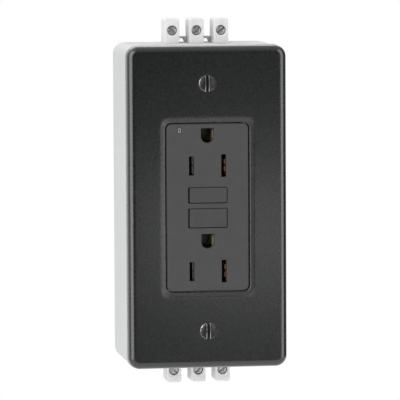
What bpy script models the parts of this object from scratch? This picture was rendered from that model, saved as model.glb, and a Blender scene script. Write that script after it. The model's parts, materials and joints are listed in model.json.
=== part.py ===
"""A ground-fault receptacle in a surface-mounted box, with a screw terminal strip through each end.

Frame: the origin is the centre of the box's back face, which lies against the wall. +X is to the right as
seen from the front, +Z is up and +Y points into the wall, so the front of the outlet faces -Y.
All sizes are metres; MM turns the millimetres of the drawing into metres.
"""

import math

import bmesh
import bpy
from mathutils import Matrix, Vector

MM = 0.001
GAP = 0.3 * MM  # clearance kept between neighbouring pieces

# Enclosure: the cover plate and the box share one outline.
OUTLINE_WIDTH = 62.6 * MM
OUTLINE_HEIGHT = 126.1 * MM
OUTLINE_CORNER = 4.4 * MM
BOX_DEPTH = 40.0 * MM
BOX_WALL = 2.3 * MM
BOX_FLOOR = 2.5 * MM
KEYHOLE_Z = 26.0 * MM
KEYHOLE_HEAD = 4.2 * MM
KEYHOLE_SLOT = 2.1 * MM
PLATE_DEPTH = 5.7 * MM
PLATE_WALL = 2.0 * MM
PLATE_EDGE_ROUND = 2.8 * MM

# Planes along Y, counted from the wall.
BOX_RIM_Y = -BOX_DEPTH
PLATE_BACK_Y = BOX_RIM_Y - GAP
PLATE_FRONT_Y = PLATE_BACK_Y - PLATE_DEPTH
STRAP_FRONT_Y = -40.6 * MM
STRAP_BACK_Y = -39.4 * MM
CONTACT_HOUSING_FRONT_Y = STRAP_BACK_Y + GAP
CONTACT_HOUSING_BACK_Y = -30.0 * MM
REAR_HOUSING_FRONT_Y = CONTACT_HOUSING_BACK_Y + GAP
REAR_HOUSING_BACK_Y = -13.5 * MM

# Device face and the opening that it fills.
FACE_WIDTH = 32.4 * MM
FACE_HEIGHT = 65.6 * MM
FACE_CORNER = 1.6 * MM
FACE_WALL = 1.6 * MM
FACE_FRONT_WALL = 2.6 * MM
FACE_BACK_Y = STRAP_FRONT_Y - GAP
OPENING_MARGIN = 0.4 * MM
OPENING_BEVEL = 1.7 * MM
OPENING_BEVEL_DEPTH = 0.5 * MM

# Standard spacings of a device of this family.
COVER_SCREW_Z = 96.84 * MM / 2
DEVICE_SCREW_Z = 83.34 * MM / 2
BLADE_X = 12.7 * MM / 2
BLADE_TO_GROUND = 11.8 * MM
SLOT_WIDTH = 1.9 * MM
HOT_SLOT_HEIGHT = 7.4 * MM
NEUTRAL_SLOT_HEIGHT = 8.8 * MM
GROUND_HOLE_WIDTH = 5.0 * MM
GROUND_HOLE_HEIGHT = 5.6 * MM
OUTLETS = {"upper": 16.3 * MM, "lower": -25.0 * MM}  # height of the blade slots' centre

# Buttons: height of the centre, height of the cap, travel.
BUTTON_WIDTH = 15.0 * MM
BUTTON_PROUD = 0.45 * MM
TEST_BUTTON_Z = 4.8 * MM
TEST_BUTTON_HEIGHT = 5.8 * MM
RESET_BUTTON_Z = -4.15 * MM
RESET_BUTTON_HEIGHT = 7.2 * MM
LENS_X = -11.0 * MM
LENS_Z = 30.2 * MM
LENS_WIDTH = 1.3 * MM
LENS_HEIGHT = 2.0 * MM

# Device housings behind the strap.
HOUSING_WIDTH = 42.6 * MM
HOUSING_HEIGHT = 70.0 * MM
HOUSING_WALL = 1.6 * MM
HOUSING_CORNER = 2.0 * MM
ASSEMBLY_SCREW_X = 12.9 * MM
ASSEMBLY_SCREW_Z = 26.0 * MM
ASSEMBLY_POST = 2.2 * MM
ASSEMBLY_SHANK = 1.15 * MM
ASSEMBLY_BORE = 1.45 * MM
SIDE_TERMINALS = {"line": 17.0 * MM, "load": -17.0 * MM}
SIDE_TERMINAL_Y = -22.0 * MM
SIDES = {"hot": -1, "neutral": 1}
FINGERS = {"hot": (0.25 * MM, 3.4 * MM), "neutral": (0.45 * MM, 2.4 * MM)}  # reach from a slot's centre

TERMINAL_PLATE = 1.1 * MM
CLAMPED_WIRE_X = HOUSING_WIDTH / 2 + GAP + TERMINAL_PLATE + GAP + 1.0 * MM
GROUND_TAB_X = 11.8 * MM
GROUND_SCREW_Y = -33.5 * MM
GROUND_SCREW_Z = -41.2 * MM

# Trip mechanism, around the reset stem.
STEM_RADIUS = 1.2 * MM
ARM_X = 8.5 * MM
ARM_PIVOT_Z = 17.0 * MM
ARM_Y = -26.5 * MM
LATCH_PLATE_Y = -23.8 * MM
PLUNGER_RADIUS = 1.5 * MM

# Terminal strips through the two ends of the box.
POLE_PITCH = 9.75 * MM
POLE_WIDTH = 5.8 * MM
POLE_COUNT = 3
STRIP_FRONT_Y = -18.4 * MM
STRIP_BACK_Y = -4.5 * MM
STRIP_HALF_LENGTH = 9.5 * MM
STRIP_CENTRE_Z = {"top": 63.4 * MM, "bottom": 62.4 * MM}
POLES = {"left": -POLE_PITCH, "centre": 0.0, "right": POLE_PITCH}
WEB_HALF_LENGTH = 2.1 * MM
WEB_FRONT_Y = -9.6 * MM
WEB_BACK_Y = -5.3 * MM
WEB_HOLE = 1.35 * MM
SLEEVE_Y = -7.6 * MM
SLEEVE_RADIUS = 2.0 * MM
SLEEVE_BORE = 1.4 * MM
SLEEVE_HALF_LENGTH = 8.4 * MM
WIRE_ENTRY = 1.7 * MM
CLAMP_SCREW_OFFSET = 4.7 * MM
CLAMP_SCREW_RADIUS = 1.7 * MM
CLAMP_SCREW_WELL = 1.95 * MM
CLAMP_SCREW_FRONT_Y = STRIP_FRONT_Y + 0.8 * MM
CLAMP_SLOT_TURN = {"left": -45.0, "centre": 42.0, "right": 52.0}  # degrees, as last tightened
WIRE_RADIUS = 1.5 * MM
BARE_WIRE_RADIUS = 1.0 * MM
WIRE_COLOURS = {"hot": "black", "neutral": "white"}

FRONT_FACING = (math.radians(90), 0, 0)  # turns local +Z to -Y, out of the front


# ---------------------------------------------------------------- helpers


def new_collection(name):
    collection = bpy.data.collections.new(name)
    bpy.context.scene.collection.children.link(collection)
    return collection


def material(name, colour, roughness, metallic=0.0, alpha=1.0):
    """A plain Principled BSDF, made once and reused by name."""
    if name in bpy.data.materials:
        return bpy.data.materials[name]
    made = bpy.data.materials.new(name)
    made.use_nodes = True
    shader = made.node_tree.nodes["Principled BSDF"]
    shader.inputs["Base Color"].default_value = (*colour, 1.0)
    shader.inputs["Roughness"].default_value = roughness
    shader.inputs["Metallic"].default_value = metallic
    shader.inputs["Alpha"].default_value = alpha
    return made


def charcoal_cover():
    return material("charcoal_cover", (0.035, 0.037, 0.037), 0.35)


def grey_nylon():
    return material("grey_nylon", (0.09, 0.09, 0.088), 0.5)


def pale_grey_plastic():
    return material("pale_grey_plastic", (0.66, 0.67, 0.67), 0.45)


def translucent_white():
    return material("translucent_white", (0.86, 0.87, 0.87), 0.4)


def dark_thermoset():
    return material("dark_thermoset", (0.03, 0.03, 0.032), 0.55)


def brass():
    return material("brass", (0.78, 0.57, 0.26), 0.3, 1.0)


def copper_alloy():
    return material("copper_alloy", (0.83, 0.46, 0.28), 0.32, 1.0)


def zinc_steel():
    return material("zinc_steel", (0.55, 0.55, 0.56), 0.35, 1.0)


def blackened_steel():
    return material("blackened_steel", (0.12, 0.12, 0.12), 0.35, 1.0)


def green_screw_steel():
    return material("green_screw_steel", (0.08, 0.35, 0.14), 0.35, 1.0)


def board_green():
    return material("board_green", (0.05, 0.22, 0.10), 0.5)


def clear_lens():
    return material("clear_lens", (0.55, 0.55, 0.54), 0.25, 0.0, 0.6)


def wire_insulation(colour_name):
    colours = {"black": (0.02, 0.02, 0.02), "white": (0.8, 0.8, 0.78), "green": (0.05, 0.3, 0.1)}
    return material("wire_" + colour_name, colours[colour_name], 0.4)


def object_from_bmesh(name, shape, where):
    mesh = bpy.data.meshes.new(name)
    shape.to_mesh(mesh)
    shape.free()
    made = bpy.data.objects.new(name, mesh)
    made.location = where
    CUTTERS.objects.link(made)
    return made


def block(name, x, y, z, round_along=None, radius=0.0, segments=3):
    """A box between the limits x, y and z; the edges parallel to one axis can be rounded."""
    shape = bmesh.new()
    bmesh.ops.create_cube(shape, size=1.0)
    size = Vector((x[1] - x[0], y[1] - y[0], z[1] - z[0]))
    bmesh.ops.scale(shape, vec=size, verts=shape.verts)
    if round_along is not None:
        along = "XYZ".index(round_along)
        edges = [e for e in shape.edges if abs((e.verts[0].co - e.verts[1].co)[along]) > size[along] / 2]
        bmesh.ops.bevel(
            shape, geom=edges, offset=radius, segments=segments, profile=0.5, affect="EDGES"
        )
    centre = Vector((x[0] + x[1], y[0] + y[1], z[0] + z[1])) / 2
    return object_from_bmesh(name, shape, centre)


def rounded_slab(name, width, height, y, corner, segments=4, centre=(0.0, 0.0)):
    """A rectangle with round corners as seen from the front, between two planes along Y."""
    x = (centre[0] - width / 2, centre[0] + width / 2)
    z = (centre[1] - height / 2, centre[1] + height / 2)
    return block(name, x, y, z, "Y", corner, segments)


def rod(name, radius, start, end, sides=16, end_radius=None):
    """A cylinder or a cone between two points that differ along one axis."""
    start, end = Vector(start), Vector(end)
    shape = bmesh.new()
    bmesh.ops.create_cone(
        shape,
        cap_ends=True,
        segments=sides,
        radius1=radius,
        radius2=radius if end_radius is None else end_radius,
        depth=(end - start).length,
    )
    made = object_from_bmesh(name, shape, (start + end) / 2)
    made.rotation_euler = (end - start).to_track_quat("Z", "Y").to_euler()
    return made


def front_rod(name, radius, x, z, y, sides=12, end_radius=None):
    """A cylinder or a cone along Y, between two planes."""
    return rod(name, radius, (x, y[0], z), (x, y[1], z), sides, end_radius)


def turned(name, profile, where, rotation, steps=20):
    """A profile of (radius, height) pairs, listed down its outer side, spun about local Z."""
    mesh = bpy.data.meshes.new(name)
    mesh.from_pydata([(r, 0.0, h) for r, h in profile], [(i, i + 1) for i in range(len(profile) - 1)], [])
    made = bpy.data.objects.new(name, mesh)
    made.location = where
    made.rotation_euler = rotation
    CUTTERS.objects.link(made)
    spin = made.modifiers.new("Spin", "SCREW")
    spin.axis = "Z"
    spin.steps = steps
    spin.render_steps = steps
    spin.use_merge_vertices = True
    spin.merge_threshold = 0.00001
    return made


def curve_object(name, points, radius, resolution=2, where=(0.0, 0.0, 0.0)):
    """A round tube along a list of points, with capped ends."""
    curve = bpy.data.curves.new(name, "CURVE")
    curve.dimensions = "3D"
    curve.bevel_depth = radius
    curve.bevel_resolution = resolution
    curve.use_fill_caps = True
    spline = curve.splines.new("POLY")
    spline.points.add(len(points) - 1)
    for point, place in zip(spline.points, points):
        point.co = (*place, 1.0)
    made = bpy.data.objects.new(name, curve)
    made.location = where
    CUTTERS.objects.link(made)
    return made


def smooth_route(route, spacing):
    """Evenly spaced points on a Catmull-Rom curve through the route's own points."""
    route = [Vector(p) for p in route]
    ends = [2 * route[0] - route[1], *route, 2 * route[-1] - route[-2]]
    points = [route[0]]
    for a, b, c, d in zip(ends, ends[1:], ends[2:], ends[3:]):
        count = max(1, round((c - b).length / spacing))
        for i in range(1, count + 1):
            t = i / count
            square = (2 * a - 5 * b + 4 * c - d) * t**2
            cube = (3 * b - a - 3 * c + d) * t**3
            points.append(0.5 * (2 * b + (c - a) * t + square + cube))
    return points


def place_origin(made, where):
    """Moves an unturned object's origin and leaves its shape in place."""
    made.data.transform(Matrix.Translation(made.location - Vector(where)))
    made.location = where


def boolean(target, others, operation):
    for other in others:
        other.hide_render = True
        other.display_type = "WIRE"
        step = target.modifiers.new(operation.title() + "_" + other.name, "BOOLEAN")
        step.operation = operation
        step.solver = "EXACT"
        step.object = other


def cut(target, *cutters):
    boolean(target, cutters, "DIFFERENCE")


def join(target, *others):
    boolean(target, others, "UNION")


def piece(made, finish, smooth=False):
    """Moves a finished shape from the cutters to the outlet's own collection."""
    CUTTERS.objects.unlink(made)
    OUTLET.objects.link(made)
    made.data.materials.append(finish)
    if smooth and made.type == "MESH":
        made.data.shade_smooth()
        made.data.set_sharp_from_angle(angle=math.radians(35))
    return made


# ---------------------------------------------------------------- enclosure


def make_back_box():
    """The open box: walls, floor, screw posts for the device, cradles for the two terminal strips."""
    box = rounded_slab(
        "back_box", OUTLINE_WIDTH, OUTLINE_HEIGHT, (BOX_RIM_Y, 0.0), OUTLINE_CORNER, 5
    )
    hollow = rounded_slab(
        "box_hollow",
        OUTLINE_WIDTH - 2 * BOX_WALL,
        OUTLINE_HEIGHT - 2 * BOX_WALL,
        (BOX_RIM_Y - 5 * MM, -BOX_FLOOR),
        OUTLINE_CORNER - BOX_WALL,
        4,
    )
    cut(box, hollow)
    pole_span = (POLE_COUNT - 1) * POLE_PITCH + POLE_WIDTH
    for end, sign in (("top", 1), ("bottom", -1)):
        inner_wall = sign * (OUTLINE_HEIGHT / 2 - BOX_WALL)
        make_screw_post(box, end, sign)
        for side in (-1, 1):
            near = side * (pole_span / 2 + GAP)
            far = near + side * 1.8 * MM
            cradle = block(
                f"cradle_{end}_{side}",
                sorted((near, far)),
                (-15.0 * MM, -BOX_FLOOR + 1 * MM),
                sorted((inner_wall - sign * 7.5 * MM, inner_wall + sign * 1 * MM)),
            )
            join(box, cradle)
        through_wall = sorted((inner_wall - sign * 1 * MM, sign * (OUTLINE_HEIGHT / 2 + 2 * MM)))
        web_reach = POLES["right"]
        web_y = (WEB_FRONT_Y - GAP, WEB_BACK_Y + GAP)
        cut(box, block(f"web_passage_{end}", (-web_reach, web_reach), web_y, through_wall))
        for pole, x in POLES.items():
            half = POLE_WIDTH / 2 + GAP
            pole_y = (STRIP_FRONT_Y - GAP, STRIP_BACK_Y + GAP)
            cut(box, block(f"pole_passage_{end}_{pole}", (x - half, x + half), pole_y, through_wall))
    for name, z in (("top", KEYHOLE_Z), ("bottom", -KEYHOLE_Z)):
        make_wall_keyhole(box, name, z)
    return piece(box, pale_grey_plastic(), True)


def make_screw_post(box, end, sign):
    """A long post that takes one device screw, tied to the end wall by a rib."""
    z = sign * DEVICE_SCREW_Z
    post_front = STRAP_BACK_Y + GAP
    post = front_rod(f"post_{end}", 4.0 * MM, 0, z, (-1 * MM, post_front), 16)
    pilot = front_rod(f"pilot_{end}", 1.8 * MM, 0, z, (-18 * MM, post_front - 2 * MM))
    join(box, post)
    cut(box, pilot)


def make_wall_keyhole(box, name, z):
    """A hole for a wall screw's head with a narrow slot above it for its shank."""
    depth = (-BOX_FLOOR - 2 * MM, 2 * MM)
    head = front_rod(f"keyhole_head_{name}", KEYHOLE_HEAD, 0, z, depth, 16)
    slot_x = (-KEYHOLE_SLOT, KEYHOLE_SLOT)
    slot = block(f"keyhole_slot_{name}", slot_x, depth, (z, z + 8.0 * MM), "Y", 1.6 * MM, 2)
    cut(box, head, slot)


def make_cover_plate():
    """The moulded cover: rolled edge, bevelled opening, two countersunk screw bosses."""
    plate = rounded_slab(
        "cover_plate",
        OUTLINE_WIDTH,
        OUTLINE_HEIGHT,
        (PLATE_FRONT_Y, PLATE_BACK_Y),
        OUTLINE_CORNER,
        5,
    )
    round_front_edge(plate, PLATE_EDGE_ROUND, 3)
    hollow = rounded_slab(
        "plate_hollow",
        OUTLINE_WIDTH - 2 * PLATE_WALL,
        OUTLINE_HEIGHT - 2 * PLATE_WALL,
        (PLATE_FRONT_Y + PLATE_WALL, PLATE_BACK_Y + 3 * MM),
        OUTLINE_CORNER - PLATE_WALL,
        4,
    )
    cut(plate, hollow)
    width, height = FACE_WIDTH + 2 * OPENING_MARGIN, FACE_HEIGHT + 2 * OPENING_MARGIN
    collar = rounded_slab(
        "plate_collar",
        width + 3 * MM,
        height + 3 * MM,
        (PLATE_FRONT_Y + 1 * MM, PLATE_FRONT_Y + 4.2 * MM),
        2.5 * MM,
    )
    join(plate, collar)
    for end, sign in (("top", 1), ("bottom", -1)):
        z = sign * COVER_SCREW_Z
        boss_back = STRAP_FRONT_Y - 2 * GAP
        boss = front_rod(f"plate_boss_{end}", 3.2 * MM, 0, z, (PLATE_FRONT_Y + 1 * MM, boss_back), 16)
        join(plate, boss)
    opening = rounded_slab(
        "plate_opening", width, height, (PLATE_FRONT_Y - 5 * MM, PLATE_BACK_Y + 5 * MM), 1.9 * MM, 3
    )
    cut(plate, opening, make_opening_bevel(width, height))
    for end, sign in (("top", 1), ("bottom", -1)):
        z = sign * COVER_SCREW_Z
        through = (PLATE_FRONT_Y - 2 * MM, PLATE_BACK_Y + 2 * MM)
        cone = (PLATE_FRONT_Y - 0.3 * MM, PLATE_FRONT_Y + 1.9 * MM)
        hole = front_rod(f"plate_hole_{end}", 2.2 * MM, 0, z, through, 16)
        sink = front_rod(f"plate_sink_{end}", 3.8 * MM, 0, z, cone, 20, 1.8 * MM)
        cut(plate, hole, sink)
    return piece(plate, charcoal_cover(), True)


def round_front_edge(made, radius, segments):
    """Rounds the rim of the face that looks out of the front."""
    shape = bmesh.new()
    shape.from_mesh(made.data)
    front = min(v.co.y for v in shape.verts)
    rim = [e for e in shape.edges if all(abs(v.co.y - front) < 1e-6 for v in e.verts)]
    bmesh.ops.bevel(shape, geom=rim, offset=radius, segments=segments, profile=0.5, affect="EDGES")
    shape.to_mesh(made.data)
    shape.free()


def make_opening_bevel(width, height):
    """A wedge-sided cutter that slopes the plate's face into its opening."""
    cutter = rounded_slab(
        "plate_opening_bevel",
        width + 4 * OPENING_BEVEL,
        height + 4 * OPENING_BEVEL,
        (PLATE_FRONT_Y - OPENING_BEVEL_DEPTH, PLATE_FRONT_Y + OPENING_BEVEL_DEPTH),
        1.9 * MM + OPENING_BEVEL,
        3,
    )
    back = max(v.co.y for v in cutter.data.vertices)
    for v in cutter.data.vertices:
        if abs(v.co.y - back) < 1e-6:
            v.co.x *= width / (width + 4 * OPENING_BEVEL)
            v.co.z *= height / (height + 4 * OPENING_BEVEL)
    return cutter


def make_cover_screw(end, sign):
    """An oval-head machine screw with a straight slot, sunk into the cover plate."""
    profile = [
        (0, 0.85 * MM),
        (1.3 * MM, 0.75 * MM),
        (2.5 * MM, 0.4 * MM),
        (3.3 * MM, -0.1 * MM),
        (1.55 * MM, -1.85 * MM),
        (1.55 * MM, -11.5 * MM),
        (0, -11.5 * MM),
    ]
    screw = turned(
        f"cover_screw_{end}", profile, (0, PLATE_FRONT_Y, sign * COVER_SCREW_Z), FRONT_FACING
    )
    slot = block(
        f"cover_screw_slot_{end}",
        (-0.6 * MM, 0.6 * MM),
        (PLATE_FRONT_Y - 3 * MM, PLATE_FRONT_Y + 0.3 * MM),
        (sign * COVER_SCREW_Z - 5 * MM, sign * COVER_SCREW_Z + 5 * MM),
    )
    cut(screw, slot)
    return piece(screw, blackened_steel(), True)


def make_device_screw(end, sign):
    """A round-head screw that holds the mounting strap to a post of the box."""
    profile = [
        (0, 1.5 * MM),
        (1.8 * MM, 1.3 * MM),
        (3.2 * MM, 0.3 * MM),
        (3.2 * MM, 0.0),
        (1.5 * MM, 0.0),
        (1.5 * MM, -18.0 * MM),
        (0, -18.0 * MM),
    ]
    where = (0, STRAP_FRONT_Y - GAP, sign * DEVICE_SCREW_Z)
    return piece(turned(f"device_screw_{end}", profile, where, FRONT_FACING, 16), zinc_steel(), True)


# ---------------------------------------------------------------- device shells


def slot_height(side):
    return HOT_SLOT_HEIGHT if side == "hot" else NEUTRAL_SLOT_HEIGHT


def make_device_face():
    """The nylon face: blade slots, round-bottomed ground holes, two button windows and a lens hole."""
    face = rounded_slab(
        "device_face", FACE_WIDTH, FACE_HEIGHT, (PLATE_FRONT_Y, FACE_BACK_Y), FACE_CORNER, 4
    )
    round_front_edge(face, 0.35 * MM, 1)
    hollow_front = PLATE_FRONT_Y + FACE_FRONT_WALL
    hollow = rounded_slab(
        "face_hollow",
        FACE_WIDTH - 2 * FACE_WALL,
        FACE_HEIGHT - 2 * FACE_WALL,
        (hollow_front, FACE_BACK_Y + 3 * MM),
        0.8 * MM,
        2,
    )
    cut(face, hollow)
    for x in (-ASSEMBLY_SCREW_X, ASSEMBLY_SCREW_X):
        for z in (-ASSEMBLY_SCREW_Z, ASSEMBLY_SCREW_Z):
            name = f"face_post_{x:.3f}_{z:.3f}"
            join(face, front_rod(name, ASSEMBLY_POST, x, z, (hollow_front - 1 * MM, FACE_BACK_Y)))
            bore = front_rod(name + "_bore", ASSEMBLY_BORE, x, z, (hollow_front - 1.2 * MM, 0))
            cut(face, bore)
    through = (PLATE_FRONT_Y - 2 * MM, hollow_front + 2 * MM)
    for outlet, z in OUTLETS.items():
        for side, sign in SIDES.items():
            half = slot_height(side) / 2
            slot_x = (sign * BLADE_X - SLOT_WIDTH / 2, sign * BLADE_X + SLOT_WIDTH / 2)
            cut(face, block(f"{side}_slot_{outlet}", slot_x, through, (z - half, z + half)))
        cut(face, *make_ground_hole(outlet, z + BLADE_TO_GROUND, through))
    for name, z, height in (
        ("test", TEST_BUTTON_Z, TEST_BUTTON_HEIGHT),
        ("reset", RESET_BUTTON_Z, RESET_BUTTON_HEIGHT),
    ):
        window = rounded_slab(
            f"{name}_window", BUTTON_WIDTH + 2 * GAP, height + 2 * GAP, through, 0.4 * MM, 1, (0.0, z)
        )
        cut(face, window)
    lens_hole = rounded_slab(
        "lens_hole", LENS_WIDTH + 0.5 * MM, LENS_HEIGHT + 0.5 * MM, through, 0.3 * MM, 1, (LENS_X, LENS_Z)
    )
    cut(face, lens_hole)
    return piece(face, grey_nylon(), True)


def make_ground_hole(outlet, z, through):
    """Flat at the top and round at the bottom."""
    radius = GROUND_HOLE_WIDTH / 2
    top = z + GROUND_HOLE_HEIGHT / 2
    round_centre = z - GROUND_HOLE_HEIGHT / 2 + radius
    flat = block(f"ground_flat_{outlet}", (-radius, radius), through, (round_centre, top))
    bowl = front_rod(f"ground_round_{outlet}", radius, 0, round_centre, through, 20)
    return flat, bowl


def make_button(name, z, height):
    """A cap that stands a little proud of the face, with a flange behind that stops it falling out."""
    flange_front = PLATE_FRONT_Y + FACE_FRONT_WALL + GAP
    flange_back = flange_front + 1.0 * MM
    cap = rounded_slab(
        f"{name}_button",
        BUTTON_WIDTH,
        height,
        (PLATE_FRONT_Y - BUTTON_PROUD, flange_front + 0.5 * MM),
        0.35 * MM,
        1,
        (0.0, z),
    )
    round_front_edge(cap, 0.3 * MM, 1)
    flange = rounded_slab(
        f"{name}_flange",
        BUTTON_WIDTH + 1.6 * MM,
        height + 1.0 * MM,
        (flange_front, flange_back),
        0.4 * MM,
        1,
        (0.0, z),
    )
    join(cap, flange)
    return piece(cap, grey_nylon(), True)


def make_status_lens():
    lens = rounded_slab(
        "status_lens",
        LENS_WIDTH,
        LENS_HEIGHT,
        (PLATE_FRONT_Y + 0.1 * MM, FACE_BACK_Y - 0.4 * MM),
        0.25 * MM,
        2,
        (LENS_X, LENS_Z),
    )
    return piece(lens, clear_lens())


def make_mounting_strap():
    """The zinc-plated steel strap: ears, screw holes, and windows for the contacts and buttons."""
    plane = (STRAP_FRONT_Y, STRAP_BACK_Y)
    through = (STRAP_FRONT_Y - 2 * MM, STRAP_BACK_Y + 2 * MM)
    strap = rounded_slab("mounting_strap", 35.0 * MM, 72.0 * MM, plane, 2.0 * MM, 2)
    ear_plane = (STRAP_FRONT_Y + 0.05 * MM, STRAP_BACK_Y - 0.05 * MM)
    ears = rounded_slab("strap_ears", 21.0 * MM, 106.6 * MM, ear_plane, 3.0 * MM, 3)
    join(strap, ears)
    for name, low, high in (("lower", -30.0 * MM, -18.8 * MM), ("middle", -8.6 * MM, 22.4 * MM)):
        window = rounded_slab(
            f"strap_window_{name}", 20.4 * MM, high - low, through, 1.0 * MM, 1, (0.0, (low + high) / 2)
        )
        cut(strap, window)
    for outlet, z in OUTLETS.items():
        ground_z = z + BLADE_TO_GROUND
        cut(strap, front_rod(f"strap_ground_{outlet}", 4.0 * MM, 0, ground_z, through, 16))
    for x in (-ASSEMBLY_SCREW_X, ASSEMBLY_SCREW_X):
        for z in (-ASSEMBLY_SCREW_Z, ASSEMBLY_SCREW_Z):
            cut(strap, front_rod(f"strap_bore_{x:.3f}_{z:.3f}", 1.6 * MM, x, z, through))
    for end, sign in (("top", 1), ("bottom", -1)):
        slot = rounded_slab(
            f"strap_slot_{end}", 7.0 * MM, 4.0 * MM, through, 1.9 * MM, 3, (0.0, sign * DEVICE_SCREW_Z)
        )
        z = sign * COVER_SCREW_Z
        cut(strap, slot, front_rod(f"strap_thread_{end}", 1.85 * MM, 0, z, through))
    tab_z = (GROUND_SCREW_Z - 4.3 * MM, GROUND_SCREW_Z + 4.3 * MM)
    tab_x = (GROUND_TAB_X - 1.2 * MM, GROUND_TAB_X)
    tab = block("strap_ground_tab", tab_x, (STRAP_FRONT_Y + 0.3 * MM, GROUND_SCREW_Y + 4.5 * MM), tab_z)
    root_y = (STRAP_FRONT_Y + 0.1 * MM, STRAP_BACK_Y - 0.1 * MM)
    root = block("strap_ground_root", (8.0 * MM, GROUND_TAB_X - 0.1 * MM), root_y, tab_z)
    join(strap, root, tab)
    bore_ends = [(x, GROUND_SCREW_Y, GROUND_SCREW_Z) for x in (GROUND_TAB_X - 5 * MM, GROUND_TAB_X + 5 * MM)]
    cut(strap, rod("strap_ground_bore", 1.9 * MM, *bore_ends, 12))
    return piece(strap, zinc_steel())


def make_ground_screw():
    """The green screw on the strap's side tab; its shank points inwards."""
    profile = [
        (0, 2.0 * MM),
        (3.6 * MM, 2.0 * MM),
        (3.6 * MM, 0.0),
        (1.6 * MM, 0.0),
        (1.6 * MM, -7.5 * MM),
        (0, -7.5 * MM),
    ]
    where = (GROUND_TAB_X + 2 * GAP + 2 * BARE_WIRE_RADIUS, GROUND_SCREW_Y, GROUND_SCREW_Z)
    screw = turned("ground_screw", profile, where, (0, math.radians(90), 0), 12)
    cut(
        screw,
        block(
            "ground_screw_slot",
            (where[0] + 1.1 * MM, where[0] + 4 * MM),
            (where[1] - 0.5 * MM, where[1] + 0.5 * MM),
            (where[2] - 5 * MM, where[2] + 5 * MM),
        ),
    )
    return piece(screw, green_screw_steel(), True)


def make_ground_contact(outlet, z):
    """A spring clip under the strap: a base with two upright leaves that grip the ground pin."""
    foot_y = (CONTACT_HOUSING_FRONT_Y, CONTACT_HOUSING_FRONT_Y + 0.7 * MM)
    base_y = (-34.5 * MM, -33.5 * MM)
    clip = block(f"ground_contact_{outlet}", (-2.95 * MM, 2.95 * MM), base_y, (z - 2.2 * MM, z + 2.2 * MM))
    for side in (-1, 1):
        leaf = block(
            f"ground_leaf_{outlet}_{side}",
            sorted((side * 2.35 * MM, side * 2.95 * MM)),
            (PLATE_FRONT_Y + FACE_FRONT_WALL + 0.2 * MM, -33.8 * MM),
            (z - 2.1 * MM, z + 2.1 * MM),
        )
        foot = block(
            f"ground_foot_{outlet}_{side}",
            sorted((side * 2.6 * MM, side * 4.6 * MM)),
            foot_y,
            (z - 1.6 * MM, z + 1.6 * MM),
        )
        join(clip, leaf, foot)
    return piece(clip, brass())


def housing_shell(name, y, open_front_y, floor_y):
    """One half of the device's body: a tray that opens towards the front."""
    shell = rounded_slab(name, HOUSING_WIDTH, HOUSING_HEIGHT, y, HOUSING_CORNER, 3)
    hollow = rounded_slab(
        name + "_hollow",
        HOUSING_WIDTH - 2 * HOUSING_WALL,
        HOUSING_HEIGHT - 2 * HOUSING_WALL,
        (open_front_y - 3 * MM, floor_y),
        0.8 * MM,
        1,
    )
    cut(shell, hollow)
    return shell


def make_contact_housing():
    """The middle tray, which holds the blade contacts and lets the reset stem through."""
    floor_y = CONTACT_HOUSING_BACK_Y - HOUSING_WALL
    shell = housing_shell(
        "contact_housing", (CONTACT_HOUSING_FRONT_Y, CONTACT_HOUSING_BACK_Y), CONTACT_HOUSING_FRONT_Y, floor_y
    )
    for x in (-ASSEMBLY_SCREW_X, ASSEMBLY_SCREW_X):
        for z in (-ASSEMBLY_SCREW_Z, ASSEMBLY_SCREW_Z):
            name = f"contact_post_{x:.3f}_{z:.3f}"
            join(shell, front_rod(name, ASSEMBLY_POST, x, z, (CONTACT_HOUSING_FRONT_Y, floor_y + 1 * MM)))
            cut(shell, front_rod(name + "_bore", ASSEMBLY_BORE, x, z, (-50 * MM, -20 * MM)))
    through = (floor_y - 2 * MM, CONTACT_HOUSING_BACK_Y + 2 * MM)
    stem_hole = front_rod("stem_hole", 1.7 * MM, 0, RESET_BUTTON_Z, through)
    cut(shell, stem_hole)
    for side, sign in SIDES.items():
        tail_slot = block(
            f"tail_slot_{side}",
            sorted((sign * (ARM_X - 1.9 * MM), sign * (ARM_X + 1.9 * MM))),
            through,
            (-9.6 * MM, -6.4 * MM),
        )
        cut(shell, tail_slot)
    return piece(shell, dark_thermoset())


def make_rear_housing():
    """The deep rear tray around the electronics, with columns for the assembly screws."""
    floor_y = REAR_HOUSING_BACK_Y - 1.8 * MM
    shell = housing_shell(
        "rear_housing", (REAR_HOUSING_FRONT_Y, REAR_HOUSING_BACK_Y), REAR_HOUSING_FRONT_Y, floor_y
    )
    for x in (-ASSEMBLY_SCREW_X, ASSEMBLY_SCREW_X):
        for z in (-ASSEMBLY_SCREW_Z, ASSEMBLY_SCREW_Z):
            name = f"rear_column_{x:.3f}_{z:.3f}"
            join(shell, front_rod(name, ASSEMBLY_POST, x, z, (REAR_HOUSING_FRONT_Y, floor_y + 1 * MM)))
            cut(shell, front_rod(name + "_bore", ASSEMBLY_BORE, x, z, (-33 * MM, -10 * MM)))
    for supply, z in SIDE_TERMINALS.items():
        for side, sign in SIDES.items():
            wall_x = sign * HOUSING_WIDTH / 2
            across = sorted((wall_x - sign * 3 * MM, wall_x + sign * 2 * MM))
            notch = block(
                f"notch_{supply}_{side}",
                across,
                (REAR_HOUSING_FRONT_Y - 1 * MM, ARM_Y + 0.8 * MM),
                (z - 2.4 * MM, z + 2.4 * MM),
            )
            bore_ends = [(wall, SIDE_TERMINAL_Y, z) for wall in across]
            cut(shell, notch, rod(f"side_bore_{supply}_{side}", 2.3 * MM, *bore_ends, 12))
    return piece(shell, dark_thermoset())


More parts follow.
